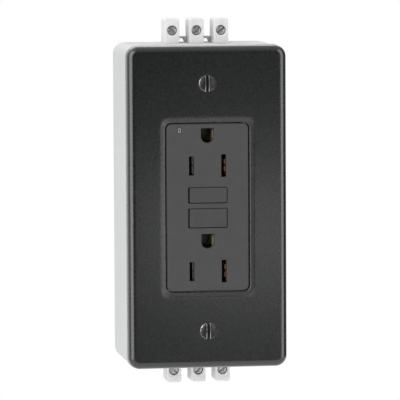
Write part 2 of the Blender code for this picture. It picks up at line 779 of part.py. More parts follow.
def make_assembly_screw(index, x, z):
    """A long screw that enters from behind and ends in a post of the face."""
    length = 30.2 * MM
    profile = [
        (0, length),
        (ASSEMBLY_SHANK, length),
        (ASSEMBLY_SHANK, 0.0),
        (2.4 * MM, 0.0),
        (2.4 * MM, -1.6 * MM),
        (0, -1.6 * MM),
    ]
    seat = (x, REAR_HOUSING_BACK_Y + GAP, z)
    return piece(turned(f"assembly_screw_{index}", profile, seat, FRONT_FACING, 10), zinc_steel(), True)


# ---------------------------------------------------------------- contacts and side terminals


def make_blade_contacts(side, sign):
    """One brass strip for both outlets: a bar, two fingers beside each blade slot, a tail to the switch."""
    x = sign * BLADE_X
    near_z, far_z = FINGERS[side]
    bar_y = (-33.0 * MM, -32.0 * MM)
    strip = block(
        f"{side}_contacts", sorted((x - sign * 2.2 * MM, x + sign * 3.6 * MM)), bar_y, (-28.8 * MM, 20.4 * MM)
    )
    for outlet, z in OUTLETS.items():
        for flank in (-1, 1):
            for half in (-1, 1):
                near = x + flank * 0.55 * MM
                finger = block(
                    f"{side}_finger_{outlet}_{flank}_{half}",
                    sorted((near, near + flank * 0.5 * MM)),
                    (PLATE_FRONT_Y + FACE_FRONT_WALL + 0.3 * MM, -32.5 * MM),
                    sorted((z + half * near_z, z + half * far_z)),
                )
                join(strip, finger)
    tail = block(
        f"{side}_tail",
        sorted((sign * (ARM_X - 1.5 * MM), sign * (ARM_X + 1.2 * MM))),
        (-32.5 * MM, -28.9 * MM),
        (-9.2 * MM, -6.8 * MM),
    )
    join(strip, tail)
    return piece(strip, copper_alloy())


def make_side_terminal(supply, z, side, sign):
    """A brass plate on the device's flank, with a tab that enters between the two housings."""
    outer = sign * (HOUSING_WIDTH / 2 + GAP)
    face = sorted((outer, outer + sign * TERMINAL_PLATE))
    plate_y = (REAR_HOUSING_FRONT_Y + 0.3 * MM, -17.5 * MM)
    plate = block(f"{supply}_{side}_terminal", face, plate_y, (z - 4.2 * MM, z + 4.2 * MM))
    tab = block(
        f"{supply}_{side}_tab",
        sorted((outer + sign * 0.9 * MM, outer - sign * 5.0 * MM)),
        (ARM_Y - 0.5 * MM, ARM_Y + 0.5 * MM),
        (z - 2.0 * MM, z + 2.0 * MM),
    )
    join(plate, tab)
    bore_ends = [(outer + reach, SIDE_TERMINAL_Y, z) for reach in (-sign * 3 * MM, sign * 3 * MM)]
    cut(plate, rod(f"{supply}_{side}_bore", 2.2 * MM, *bore_ends, 12))
    return piece(plate, brass())


def make_side_screw(supply, z, side, sign):
    """A wide binding-head screw that clamps a wire against its terminal plate."""
    profile = [
        (0, 1.9 * MM),
        (3.2 * MM, 1.9 * MM),
        (3.8 * MM, 1.3 * MM),
        (3.8 * MM, 0.0),
        (1.8 * MM, 0.0),
        (1.8 * MM, -6.0 * MM),
        (0, -6.0 * MM),
    ]
    head_x = sign * (CLAMPED_WIRE_X + BARE_WIRE_RADIUS + GAP)
    screw = turned(
        f"{supply}_{side}_screw", profile, (head_x, SIDE_TERMINAL_Y, z), (0, sign * math.radians(90), 0), 14
    )
    cut(
        screw,
        block(
            f"{supply}_{side}_screw_slot",
            sorted((head_x + sign * 1.0 * MM, head_x + sign * 4 * MM)),
            (SIDE_TERMINAL_Y - 5 * MM, SIDE_TERMINAL_Y + 5 * MM),
            (z - 0.6 * MM, z + 0.6 * MM),
        ),
    )
    return piece(screw, brass() if side == "hot" else zinc_steel(), True)


# ---------------------------------------------------------------- trip mechanism


def make_reset_stem():
    """The steel pin behind the reset button, which the latch plate catches."""
    profile = [
        (0, 0.0),
        (STEM_RADIUS, 0.0),
        (STEM_RADIUS, -17.3 * MM),
        (0.8 * MM, -17.5 * MM),
        (0.8 * MM, -19.1 * MM),
        (STEM_RADIUS, -19.3 * MM),
        (0.7 * MM, -20.4 * MM),
        (0, -20.4 * MM),
    ]
    flange_back = PLATE_FRONT_Y + FACE_FRONT_WALL + GAP + 1.0 * MM
    where = (0, flange_back + GAP, RESET_BUTTON_Z)
    return piece(turned("reset_stem", profile, where, FRONT_FACING, 12), zinc_steel(), True)


def make_coil_spring(name, radius, wire, length, turns, where, finish):
    """A compression spring along Y, starting at where and running towards the wall."""
    steps = 8
    count = round(turns * steps)
    points = []
    for i in range(count + 1):
        angle = 2 * math.pi * i / steps
        points.append((radius * math.cos(angle), length * i / count, radius * math.sin(angle)))
    return piece(curve_object(name, points, wire, 1, where), finish)


def make_test_leaf():
    """The bronze leaf that the test button bends on to the board's test pin."""
    curve = bpy.data.curves.new("test_leaf", "CURVE")
    curve.dimensions = "3D"
    curve.extrude = 1.6 * MM
    spline = curve.splines.new("POLY")
    profile = [(-32.4, 13.4), (-37.6, 13.4), (-39.4, 12.2), (-40.1, 9.5), (-40.4, 4.6), (-39.8, 2.6)]
    spline.points.add(len(profile) - 1)
    for point, (y, z) in zip(spline.points, profile):
        point.co = (y * MM, z * MM, 0.0, 1.0)
    ribbon = bpy.data.objects.new("test_leaf", curve)
    ribbon.rotation_euler = (math.radians(90), 0, math.radians(90))
    CUTTERS.objects.link(ribbon)
    thick = ribbon.modifiers.new("Sheet", "SOLIDIFY")
    thick.thickness = 0.3 * MM
    thick.offset = 0.0
    return piece(ribbon, copper_alloy())


def make_latch_block():
    """The moulded lifter around the stem: its wings carry the two contact arms."""
    body = block("latch_block", (-5.6 * MM, 5.6 * MM), (-28.9 * MM, -24.7 * MM), (-8.2 * MM, 1.8 * MM))
    wings = block("latch_wings", (-11.0 * MM, 11.0 * MM), (-25.8 * MM, -24.6 * MM), (-6.2 * MM, -2.2 * MM))
    join(body, wings)
    for sign in (-1, 1):
        rail = block(
            f"latch_rail_{sign}",
            sorted((sign * 4.4 * MM, sign * 5.5 * MM)),
            (-25.0 * MM, -22.4 * MM),
            (-8.9 * MM, 1.7 * MM),
        )
        join(body, rail)
    cut(body, front_rod("latch_block_bore", 1.6 * MM, 0, RESET_BUTTON_Z, (-32 * MM, -20 * MM)))
    return piece(body, dark_thermoset())


def make_latch_plate():
    """The sliding steel plate whose hole catches the groove of the stem."""
    y = (LATCH_PLATE_Y - 0.45 * MM, LATCH_PLATE_Y + 0.45 * MM)
    plate = block("latch_plate", (-4.0 * MM, 4.0 * MM), y, (-10.2 * MM, 1.6 * MM))
    hole = block(
        "latch_hole",
        (-1.5 * MM, 1.5 * MM),
        (y[0] - 2 * MM, y[1] + 2 * MM),
        (RESET_BUTTON_Z - 3.7 * MM, RESET_BUTTON_Z + 1.05 * MM),
    )
    cut(plate, hole)
    return piece(plate, zinc_steel())


def upright_rod(name, radius, x, y, z, sides):
    """A cylinder along Z, between two heights."""
    return rod(name, radius, (x, y, z[0]), (x, y, z[1]), sides)


def make_solenoid_coil():
    """The trip coil: a wound bobbin with a bore for its plunger, lying along Z."""
    low, high = -28.0 * MM, -14.6 * MM
    coil = upright_rod("solenoid_coil", 4.6 * MM, 0, LATCH_PLATE_Y, (low, high), 20)
    for name, z in (("lower", low), ("upper", high - 1.2 * MM)):
        join(coil, upright_rod(f"coil_cheek_{name}", 5.5 * MM, 0, LATCH_PLATE_Y, (z, z + 1.2 * MM), 20))
    cut(coil, upright_rod("coil_bore", 1.9 * MM, 0, LATCH_PLATE_Y, (low - 5 * MM, high + 5 * MM), 16))
    return piece(coil, copper_alloy(), True)


def make_solenoid_plunger():
    """The iron plunger; its nose stands just short of the latch plate."""
    profile = [
        (0, 14.8 * MM),
        (PLUNGER_RADIUS - 0.4 * MM, 14.8 * MM),
        (PLUNGER_RADIUS, 14.4 * MM),
        (PLUNGER_RADIUS, 0.0),
        (0, 0.0),
    ]
    where = (0, LATCH_PLATE_Y, -25.4 * MM)
    return piece(turned("solenoid_plunger", profile, where, (0, 0, 0), 12), zinc_steel(), True)


def make_contact_arm(side, sign):
    """A spring-bronze arm from the line terminal down to the switch contact under the strip's tail."""
    x = sorted((sign * (ARM_X - 1.8 * MM), sign * (ARM_X + 1.8 * MM)))
    sheet_y = (ARM_Y - 0.3 * MM, ARM_Y + 0.3 * MM)
    button_y = (ARM_Y + 0.1 * MM, -28.5 * MM)
    arm = block(f"contact_arm_{side}", x, sheet_y, (-9.8 * MM, ARM_PIVOT_Z + 1.6 * MM))
    button = front_rod(f"arm_button_{side}", 1.5 * MM, sign * ARM_X, -8.0 * MM, button_y)
    foot = block(
        f"arm_foot_{side}",
        sorted((sign * (ARM_X + 1.5 * MM), sign * 16.3 * MM)),
        sheet_y,
        (ARM_PIVOT_Z - 2.2 * MM, ARM_PIVOT_Z + 2.2 * MM),
    )
    join(arm, foot, button)
    place_origin(arm, (0.0, ARM_Y, ARM_PIVOT_Z))
    return piece(arm, copper_alloy())


def make_circuit_board():
    """The board with its larger parts, notched for the trip coil and bored for stem and columns."""
    front, back = -19.6 * MM, -18.0 * MM
    board = rounded_slab("circuit_board", 36.6 * MM, 64.0 * MM, (front, back), 1.5 * MM, 1)
    through = (front - 5 * MM, back + 5 * MM)
    notch = block("board_notch", (-6.2 * MM, 6.2 * MM), through, (-29.2 * MM, -12.4 * MM))
    cut(board, notch)
    cut(board, front_rod("board_stem_hole", 2.2 * MM, 0, RESET_BUTTON_Z, through))
    for x in (-ASSEMBLY_SCREW_X, ASSEMBLY_SCREW_X):
        for z in (-ASSEMBLY_SCREW_Z, ASSEMBLY_SCREW_Z):
            hole = front_rod(f"board_bore_{x:.3f}_{z:.3f}", 2.6 * MM, x, z, through)
            cut(board, hole)
    into_board = front + 0.5 * MM
    for name, x, z, radius, height in (
        ("electrolytic", 14.4, 5.0, 2.8, 6.5),
        ("smaller_electrolytic", 14.6, -3.6, 2.2, 5.0),
        ("light", -11.4, 30.2, 1.3, 3.0),
    ):
        join(board, front_rod(name, radius * MM, x * MM, z * MM, (into_board, front - height * MM)))
    for name, x, z, width, height, depth in (
        ("chip", -14.4, 4.0, 4.2, 9.8, 2.2),
        ("film_capacitor", -14.4, -8.0, 3.4, 8.0, 5.0),
        ("varistor", 14.4, -12.2, 5.6, 2.6, 6.0),
        ("rectifier", 14.4, 11.2, 4.6, 2.4, 2.4),
    ):
        sides = ((x - width / 2) * MM, (x + width / 2) * MM)
        ends = ((z - height / 2) * MM, (z + height / 2) * MM)
        join(board, block(name, sides, (front - depth * MM, into_board), ends))
    return piece(board, board_green())


def make_sensing_transformer():
    """A wound ring core in its case, standing on the board."""
    outer, inner, height = 5.8 * MM, 2.6 * MM, 7.6 * MM
    profile = [
        (outer - 0.6 * MM, height),
        (outer, height - 0.6 * MM),
        (outer, 0.6 * MM),
        (outer - 0.6 * MM, 0.0),
        (inner, 0.0),
        (inner, height),
        (outer - 0.6 * MM, height),
    ]
    where = (0, -19.6 * MM - GAP, 22.0 * MM)
    return piece(turned("sensing_transformer", profile, where, FRONT_FACING, 20), dark_thermoset(), True)


# ---------------------------------------------------------------- terminal strips and wires


def make_terminal_strip(end, sign):
    """Three joined poles of soft plastic that pass through the end wall, with screw wells in front."""
    centre_z = sign * STRIP_CENTRE_Z[end]
    low, high = centre_z - STRIP_HALF_LENGTH, centre_z + STRIP_HALF_LENGTH
    web_span = (POLE_COUNT - 1) * POLE_PITCH / 2
    strip = block(
        f"terminal_strip_{end}",
        (-web_span, web_span),
        (WEB_FRONT_Y, WEB_BACK_Y),
        (centre_z - WEB_HALF_LENGTH, centre_z + WEB_HALF_LENGTH),
    )
    web_holes = []
    for pole, x in POLES.items():
        barrel_y = STRIP_BACK_Y - POLE_WIDTH / 2
        body = block(
            f"pole_{end}_{pole}",
            (x - POLE_WIDTH / 2, x + POLE_WIDTH / 2),
            (STRIP_FRONT_Y, barrel_y),
            (low, high),
            "Y",
            1.2 * MM,
            1,
        )
        barrel_z = (low + 0.4 * MM, high - 0.4 * MM)
        barrel = upright_rod(f"barrel_{end}_{pole}", POLE_WIDTH / 2, x, barrel_y, barrel_z, 14)
        join(strip, body, barrel)
        if x < web_span:
            middle = x + POLE_PITCH / 2
            through = (WEB_FRONT_Y - 3 * MM, WEB_BACK_Y + 3 * MM)
            web_holes.append(front_rod(f"web_hole_{end}_{pole}", WEB_HOLE, middle, centre_z, through))
    cut(strip, *web_holes)
    for pole, x in POLES.items():
        outer_end = centre_z + sign * (STRIP_HALF_LENGTH + 3 * MM)
        inner_end = centre_z - sign * (STRIP_HALF_LENGTH + 3 * MM)
        seat_end = centre_z + sign * (SLEEVE_HALF_LENGTH + GAP)
        seat_radius = SLEEVE_RADIUS + GAP
        entry = upright_rod(f"entry_{end}_{pole}", WIRE_ENTRY, x, SLEEVE_Y, (centre_z, outer_end), 12)
        seat = upright_rod(f"seat_{end}_{pole}", seat_radius, x, SLEEVE_Y, (inner_end, seat_end), 10)
        cut(strip, entry, seat)
        for offset in (-CLAMP_SCREW_OFFSET, CLAMP_SCREW_OFFSET):
            z = centre_z + offset
            name = f"well_{end}_{pole}_{offset:.4f}"
            cut(strip, front_rod(name, CLAMP_SCREW_WELL, x, z, (STRIP_FRONT_Y - 2 * MM, SLEEVE_Y)))
    return piece(strip, translucent_white(), True)


def make_sleeve(end, sign, pole, x):
    """The brass tube that joins the wires of one pole, with its inner clamp screw run home."""
    centre_z = sign * STRIP_CENTRE_Z[end]
    tube_ends = [(x, SLEEVE_Y, centre_z + side * SLEEVE_HALF_LENGTH) for side in (-1, 1)]
    bore_ends = [(x, SLEEVE_Y, centre_z + side * (SLEEVE_HALF_LENGTH + 2 * MM)) for side in (-1, 1)]
    sleeve = rod(f"terminal_sleeve_{end}_{pole}", SLEEVE_RADIUS, *tube_ends, 10)
    cut(sleeve, rod(f"sleeve_bore_{end}_{pole}", SLEEVE_BORE, *bore_ends, 8))
    outer_z = centre_z + sign * CLAMP_SCREW_OFFSET
    inner_z = centre_z - sign * CLAMP_SCREW_OFFSET
    thread = front_rod(f"sleeve_thread_{end}_{pole}", 1.45 * MM, x, outer_z, (SLEEVE_Y - 5 * MM, SLEEVE_Y), 8)
    cut(sleeve, thread)
    tip_y = SLEEVE_Y - BARE_WIRE_RADIUS - 0.15 * MM
    screw_y = (tip_y, CLAMP_SCREW_FRONT_Y)
    join(sleeve, front_rod(f"inner_screw_{end}_{pole}", 1.5 * MM, x, inner_z, screw_y, 8))
    return piece(sleeve, brass(), True)


def make_clamp_screw(end, sign, pole, x):
    """The outer clamp screw of one pole: a slotted head in its well and a thinner threaded shank."""
    profile = [
        (0, 0.0),
        (CLAMP_SCREW_RADIUS - 0.25 * MM, 0.0),
        (CLAMP_SCREW_RADIUS, -0.25 * MM),
        (CLAMP_SCREW_RADIUS, -4.2 * MM),
        (1.15 * MM, -4.6 * MM),
        (1.15 * MM, -8.6 * MM),
        (0, -8.6 * MM),
    ]
    z = sign * (STRIP_CENTRE_Z[end] + CLAMP_SCREW_OFFSET)
    screw = turned(f"clamp_screw_{end}_{pole}", profile, (x, CLAMP_SCREW_FRONT_Y, z), FRONT_FACING, 12)
    slot = block(
        f"clamp_slot_{end}_{pole}",
        (x - 0.4 * MM, x + 0.4 * MM),
        (CLAMP_SCREW_FRONT_Y - 1 * MM, CLAMP_SCREW_FRONT_Y + 0.9 * MM),
        (z - 3 * MM, z + 3 * MM),
    )
    slot.rotation_euler.y = math.radians(CLAMP_SLOT_TURN[pole])
    cut(screw, slot)
    return piece(screw, zinc_steel(), True)


def make_wire(name, route, bare_places, colour_name):
    """An insulated wire whose ends, and any stretch near a screw, are stripped to the copper."""
    points = smooth_route(route, 4.5 * MM)
    wire = curve_object(name, points, WIRE_RADIUS)
    for point, place in zip(wire.data.splines[0].points, points):
        if any((place - Vector(spot)).length < reach for spot, reach in bare_places):
            point.radius = BARE_WIRE_RADIUS / WIRE_RADIUS
    return piece(wire, wire_insulation(colour_name))


def make_supply_wire(supply, side, sign):
    """From one outer pole of a strip round the device's corner to its side terminal."""
    end = "top" if supply == "line" else "bottom"
    up = 1 if end == "top" else -1
    pole_x = sign * POLE_PITCH
    sleeve_end = STRIP_CENTRE_Z[end] - SLEEVE_HALF_LENGTH
    terminal_z = abs(SIDE_TERMINALS[supply])
    clamp_y = SIDE_TERMINAL_Y + 1.8 * MM + GAP + BARE_WIRE_RADIUS
    clamp_x = sign * CLAMPED_WIRE_X
    route = [
        (pole_x, SLEEVE_Y, up * (sleeve_end + 5.5 * MM)),
        (pole_x, SLEEVE_Y, up * (sleeve_end - 1.0 * MM)),
        (pole_x + sign * 1.0 * MM, SLEEVE_Y - 0.4 * MM, up * (sleeve_end - 5.0 * MM)),
        (pole_x + sign * 6.5 * MM, SLEEVE_Y - 2.6 * MM, up * (sleeve_end - 11.0 * MM)),
        (pole_x + sign * 13.2 * MM, SLEEVE_Y - 6.8 * MM, up * (terminal_z + 20.0 * MM)),
        (clamp_x + sign * 0.7 * MM, clamp_y + 0.6 * MM, up * (terminal_z + 12.0 * MM)),
        (clamp_x, clamp_y, up * (terminal_z + 5.0 * MM)),
        (clamp_x, clamp_y, up * (terminal_z - 4.0 * MM)),
    ]
    bare_places = [((clamp_x, clamp_y, up * terminal_z), 8.5 * MM), (route[0], 10.5 * MM)]
    return make_wire(f"{supply}_{side}_wire", route, bare_places, WIRE_COLOURS[side])


def make_ground_wire():
    """One wire from the top strip to the bottom one, looped round the green screw on its way."""
    top_end = STRIP_CENTRE_Z["top"] - SLEEVE_HALF_LENGTH
    bottom_end = -(STRIP_CENTRE_Z["bottom"] - SLEEVE_HALF_LENGTH)
    loop_x = GROUND_TAB_X + GAP + BARE_WIRE_RADIUS
    loop_radius = 1.6 * MM + GAP + BARE_WIRE_RADIUS
    loop = [
        (
            loop_x,
            GROUND_SCREW_Y - loop_radius * math.sin(math.radians(a)),
            GROUND_SCREW_Z + loop_radius * math.cos(math.radians(a)),
        )
        for a in (0, 45, 90, 135, 180)
    ]
    behind_y = -7.6 * MM
    route = [
        (0, SLEEVE_Y, top_end + 5.5 * MM),
        (0, SLEEVE_Y, top_end - 1.0 * MM),
        (1.6 * MM, SLEEVE_Y, top_end - 4.5 * MM),
        (7.6 * MM, behind_y, 42.0 * MM),
        (8.0 * MM, behind_y, 34.0 * MM),
        (8.0 * MM, behind_y, 0),
        (8.0 * MM, behind_y, -28.0 * MM),
        (10.4 * MM, -9.6 * MM, -35.4 * MM),
        (loop_x + 1.0 * MM, -17.0 * MM, -38.2 * MM),
        (loop_x, GROUND_SCREW_Y + 7.0 * MM, loop[0][2]),
        *loop,
        (loop_x, GROUND_SCREW_Y + 7.0 * MM, loop[-1][2]),
        (loop_x - 1.4 * MM, -18.0 * MM, -45.2 * MM),
        (6.0 * MM, -10.0 * MM, bottom_end + 6.6 * MM),
        (0.6 * MM, SLEEVE_Y, bottom_end + 2.4 * MM),
        (0, SLEEVE_Y, bottom_end - 5.5 * MM),
    ]
    screw = (loop_x, GROUND_SCREW_Y, GROUND_SCREW_Z)
    bare_places = [(screw, 7.0 * MM), (route[0], 10.5 * MM), (route[-1], 10.5 * MM)]
    return make_wire("ground_wire", route, bare_places, "green")


# ---------------------------------------------------------------- assembly


for old in list(bpy.data.objects):
    bpy.data.objects.remove(old, do_unlink=True)

OUTLET = new_collection("gfci_outlet")
CUTTERS = new_collection("cutters")
CUTTERS.hide_render = True

make_back_box()
make_cover_plate()
make_device_face()
make_mounting_strap()
make_contact_housing()
make_rear_housing()
make_status_lens()
make_ground_screw()
make_ground_wire()
for end, sign in (("top", 1), ("bottom", -1)):
    make_cover_screw(end, sign)
    make_device_screw(end, sign)
    make_terminal_strip(end, sign)
    for pole, x in POLES.items():
        make_sleeve(end, sign, pole, x)
        make_clamp_screw(end, sign, pole, x)
for index, (x, z) in enumerate(((-1, 1), (1, 1), (-1, -1), (1, -1)), start=1):
    make_assembly_screw(index, x * ASSEMBLY_SCREW_X, z * ASSEMBLY_SCREW_Z)
for outlet, z in OUTLETS.items():
    make_ground_contact(outlet, z + BLADE_TO_GROUND)
for side, sign in SIDES.items():
    make_blade_contacts(side, sign)
    make_contact_arm(side, sign)
    for supply, z in SIDE_TERMINALS.items():
        make_side_terminal(supply, z, side, sign)
        make_side_screw(supply, z, side, sign)
        make_supply_wire(supply, side, sign)

make_button("test", TEST_BUTTON_Z, TEST_BUTTON_HEIGHT)
make_button("reset", RESET_BUTTON_Z, RESET_BUTTON_HEIGHT)
make_reset_stem()
make_coil_spring(
    "reset_spring", 2.2 * MM, 0.3 * MM, 9.0 * MM, 5.0, (0, -41.4 * MM, RESET_BUTTON_Z), zinc_steel()
)
make_test_leaf()
make_latch_block()
make_latch_plate()
make_solenoid_coil()
make_solenoid_plunger()
make_circuit_board()
make_sensing_transformer()
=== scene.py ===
"""A ground-fault receptacle under a charcoal cover plate, in a pale grey box with a terminal strip at each
end.

The outlet faces -Y with +Z up, and its box stands with its back in the plane y = 0. All sizes are metres.
"""

import json
import math

import bmesh
import bpy
from mathutils import Matrix, Vector


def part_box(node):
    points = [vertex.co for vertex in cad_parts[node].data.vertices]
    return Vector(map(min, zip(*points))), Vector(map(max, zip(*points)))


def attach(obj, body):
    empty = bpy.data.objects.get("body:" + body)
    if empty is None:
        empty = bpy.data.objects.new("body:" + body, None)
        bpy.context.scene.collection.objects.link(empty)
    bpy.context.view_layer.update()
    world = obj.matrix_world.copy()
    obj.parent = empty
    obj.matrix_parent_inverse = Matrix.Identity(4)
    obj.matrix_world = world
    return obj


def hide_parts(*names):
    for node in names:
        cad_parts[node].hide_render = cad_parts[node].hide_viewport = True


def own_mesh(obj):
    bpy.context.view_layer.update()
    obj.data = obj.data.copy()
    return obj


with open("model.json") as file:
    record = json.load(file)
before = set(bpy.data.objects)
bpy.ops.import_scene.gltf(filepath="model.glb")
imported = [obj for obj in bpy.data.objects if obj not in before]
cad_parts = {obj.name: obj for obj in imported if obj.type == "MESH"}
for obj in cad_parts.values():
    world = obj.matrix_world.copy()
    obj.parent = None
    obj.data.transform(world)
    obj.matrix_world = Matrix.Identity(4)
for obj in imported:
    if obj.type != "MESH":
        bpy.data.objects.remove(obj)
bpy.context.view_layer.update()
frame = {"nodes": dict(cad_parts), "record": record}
MM = 0.001


# ---------------------------------------------------------------- back box
# A deep tray moulded in pale grey plastic that screws to the wall through two keyholes in its floor. A
# thicker band runs round its mouth, two posts inside take the device's screws, and each end wall is
# pierced for the three poles of a terminal strip.


def centre(node):
    """The middle of a node's box at rest."""
    low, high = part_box(node)
    return [(a + b) / 2 for a, b in zip(low, high)]


def offsets(start, *pairs, out=0.0):
    """Pairs in metres, from pairs in millimetres that are counted from start and from out."""
    return [(start + along * MM, out + across * MM) for along, across in pairs]


def ring(half_x, half_z, corner, y, per_corner=8, centre=(0.0, 0.0)):
    """The points of a rounded rectangle that faces the front, in the plane y."""
    points = []
    for quarter, (side_x, side_z) in enumerate(((1, 1), (-1, 1), (-1, -1), (1, -1))):
        for step in range(per_corner + 1):
            angle = math.radians(90 * (quarter + step / per_corner))
            x = centre[0] + side_x * (half_x - corner) + corner * math.cos(angle)
            z = centre[1] + side_z * (half_z - corner) + corner * math.sin(angle)
            points.append(Vector((x, y, z)))
    return points


def skin(name, rings, endless=False):
    """Covers a row of rings with quads. The two ends are capped, or joined to each other if endless."""
    shape = bmesh.new()
    rows = [[shape.verts.new(point) for point in points] for points in rings]
    count = len(rows[0])
    for first, second in zip(rows, rows[1:] + (rows[:1] if endless else [])):
        for i in range(count):
            j = (i + 1) % count
            shape.faces.new((first[i], first[j], second[j], second[i]))
    if not endless:
        shape.faces.new(rows[0])
        shape.faces.new(rows[-1])
    bmesh.ops.remove_doubles(shape, verts=shape.verts, dist=1e-7)
    bmesh.ops.recalc_face_normals(shape, faces=shape.faces)
    return body_from(name, shape)


def body_from(name, shape):
    mesh = bpy.data.meshes.new(name)
    shape.to_mesh(mesh)
    shape.free()
    made = bpy.data.objects.new(name, mesh)
    bpy.context.scene.collection.objects.link(made)
    return made


def slab(name, half_x, half_z, corner, levels, centre=(0.0, 0.0), per_corner=6):
    """A rounded block seen from the front. levels are (y, growth) pairs, with growth added all round."""
    rings = []
    for y, growth in levels:
        radius = max(corner + growth, 0.04 * MM)
        rings.append(ring(half_x + growth, half_z + growth, radius, y, per_corner, centre))
    return skin(name, rings)


def drum(name, radius, levels, x, z, per_corner=7):
    """A round body along Y. levels are (y, growth) pairs."""
    return slab(name, radius, radius, radius, levels, (x, z), per_corner)


def brick(name, x, y, z):
    """A plain block between pairs of limits, used to cut and to join."""
    shape = bmesh.new()
    bmesh.ops.create_cube(shape, size=1.0)
    for vert in shape.verts:
        for axis, (low, high) in enumerate((x, y, z)):
            vert.co[axis] = low if vert.co[axis] < 0 else high
    return body_from(name, shape)


def settled(made):
    """Turns a body with live modifiers into a plain mesh."""
    bpy.context.view_layer.update()
    graph = bpy.context.evaluated_depsgraph_get()
    mesh = bpy.data.meshes.new_from_object(made.evaluated_get(graph), depsgraph=graph)
    made.modifiers.clear()
    made.data = mesh
    return made


def combine(body, operation, tools):
    """Cuts tools from body (DIFFERENCE) or joins them to it (UNION), and clears them away."""
    for tool in tools:
        step = body.modifiers.new(operation, "BOOLEAN")
        step.operation = operation
        step.solver = "EXACT"
        step.object = tool
    settled(body)
    for tool in tools:
        bpy.data.objects.remove(tool, do_unlink=True)
    return body


def dress(made, material, angle=33):
    """Smooth shading with crisp edges and flat faces kept flat, and the finish put on."""
    made.data.materials.clear()
    made.data.materials.append(material)
    made.data.shade_smooth()
    made.data.set_sharp_from_angle(angle=math.radians(angle))
    step = made.modifiers.new("even_shading", "WEIGHTED_NORMAL")
    step.keep_sharp = True
    return settled(made)


class Link:
    """What leaves a node's socket. Arithmetic on it adds Math nodes."""

    def __init__(self, graph, socket):
        self.graph = graph
        self.socket = socket

    def maths(self, operation, *values):
        return self.graph.add("ShaderNodeMath", {"operation": operation}, dict(enumerate(values)))

    def __add__(self, other):
        return self.maths("ADD", self, other)

    def __sub__(self, other):
        return self.maths("SUBTRACT", self, other)

    def __mul__(self, other):
        return self.maths("MULTIPLY", self, other)

    def __truediv__(self, other):
        return self.maths("DIVIDE", self, other)

    def __radd__(self, other):
        return self.maths("ADD", other, self)

    def __rsub__(self, other):
        return self.maths("SUBTRACT", other, self)

    def __rmul__(self, other):
        return self.maths("MULTIPLY", other, self)

    def __abs__(self):
        return self.maths("ABSOLUTE", self)


class Graph:
    """A node tree under construction, for a finish or for repeated geometry."""

    def __init__(self, tree):
        self.tree = tree

    def add(self, kind, settings=None, inputs=None, output=0):
        """Adds a node: its settings first, then values or links into its sockets."""
        node = self.tree.nodes.new(kind)
        for name, value in (settings or {}).items():
            if name == "stops":
                ramp = node.color_ramp
                while len(ramp.elements) < len(value):
                    ramp.elements.new(1.0)
                for element, (position, colour) in zip(ramp.elements, value):
                    element.position = position
                    element.color = (*colour, 1.0)
            else:
                setattr(node, name, value)
        for name, value in (inputs or {}).items():
            if isinstance(value, Link):
                self.tree.links.new(value.socket, node.inputs[name])
            else:
                node.inputs[name].default_value = value
        return Link(self, node.outputs[output])


class Finish(Graph):
    """A surface finish. fixed holds the shader's values that are the same all over."""

    def __init__(self, name, fixed):
        self.material = bpy.data.materials.new(name)
        self.material.use_nodes = True
        super().__init__(self.material.node_tree)
        self.shader = self.tree.nodes["Principled BSDF"]
        for socket, value in fixed.items():
            self.shader.inputs[socket].default_value = value
        self.place = self.add("ShaderNodeTexCoord", output="Object")

    def noise(self, grain, detail=2.0, roughness=0.5, stretch=(1, 1, 1)):
        """Soft noise whose patches are about grain metres across, between 0 and 1."""
        vector = self.add("ShaderNodeMapping", {}, {"Vector": self.place, "Scale": stretch})
        sizes = {"Vector": vector, "Scale": 1.0 / grain, "Detail": detail, "Roughness": roughness}
        return self.add("ShaderNodeTexNoise", {}, sizes)

    def along(self, axis):
        """How far a point lies along an axis: 0 is X, 1 is Y and 2 is Z."""
        return self.add("ShaderNodeSeparateXYZ", {}, {0: self.place}, axis)

    def cells(self, grain):
        """A cell pattern whose cells are about grain metres across."""
        return self.add("ShaderNodeTexVoronoi", {}, {"Vector": self.place, "Scale": 1.0 / grain}, "Distance")

    def ramp(self, value, stops):
        return self.add("ShaderNodeValToRGB", {"stops": stops}, {"Fac": value})

    def between(self, value, low, high, start=0.0, end=1.0):
        """value mapped from low..high to start..end, and held there outside."""
        limits = {"Value": value, "From Min": low, "From Max": high, "To Min": start, "To Max": end}
        return self.add("ShaderNodeMapRange", {"clamp": True}, limits)

    def bumps(self, *layers):
        """One Bump node for each (height, metres) pair, each on top of the one before."""
        normal = None
        for height, metres in layers:
            inputs = {"Height": height, "Distance": metres, "Strength": 1.0}
            if normal is not None:
                inputs["Normal"] = normal
            normal = self.add("ShaderNodeBump", {}, inputs)
        return normal

    def feed(self, **links):
        """Links values into the shader; Base_Color stands for Base Color."""
        for name, link in links.items():
            self.tree.links.new(link.socket, self.shader.inputs[name.replace("_", " ")])
        return self.material


def pale_grey_plastic():
    """Moulded ABS: a very fine satin grain, faint flow marks down the wall, a slightly uneven gloss."""
    finish = Finish("pale_grey_plastic", {"IOR": 1.5, "Subsurface Weight": 0.05})
    flow = finish.noise(14 * MM, 3.0, 0.55, (1.0, 0.35, 0.2))
    grain = finish.noise(0.32 * MM, 2.0, 0.6)
    dust = finish.between(finish.noise(2.6 * MM, 4.0, 0.7), 0.6, 0.8)
    tone = flow * 0.7 + grain * 0.25 - dust * 0.25
    colour = finish.ramp(tone, [(0.2, (0.53, 0.53, 0.53)), (0.75, (0.60, 0.60, 0.60))])
    gloss = finish.between(flow + grain * 0.3, 0.3, 0.95, 0.5, 0.38)
    normal = finish.bumps((flow, 0.05 * MM), (grain, 0.014 * MM))
    return finish.feed(Base_Color=colour, Roughness=gloss, Normal=normal)


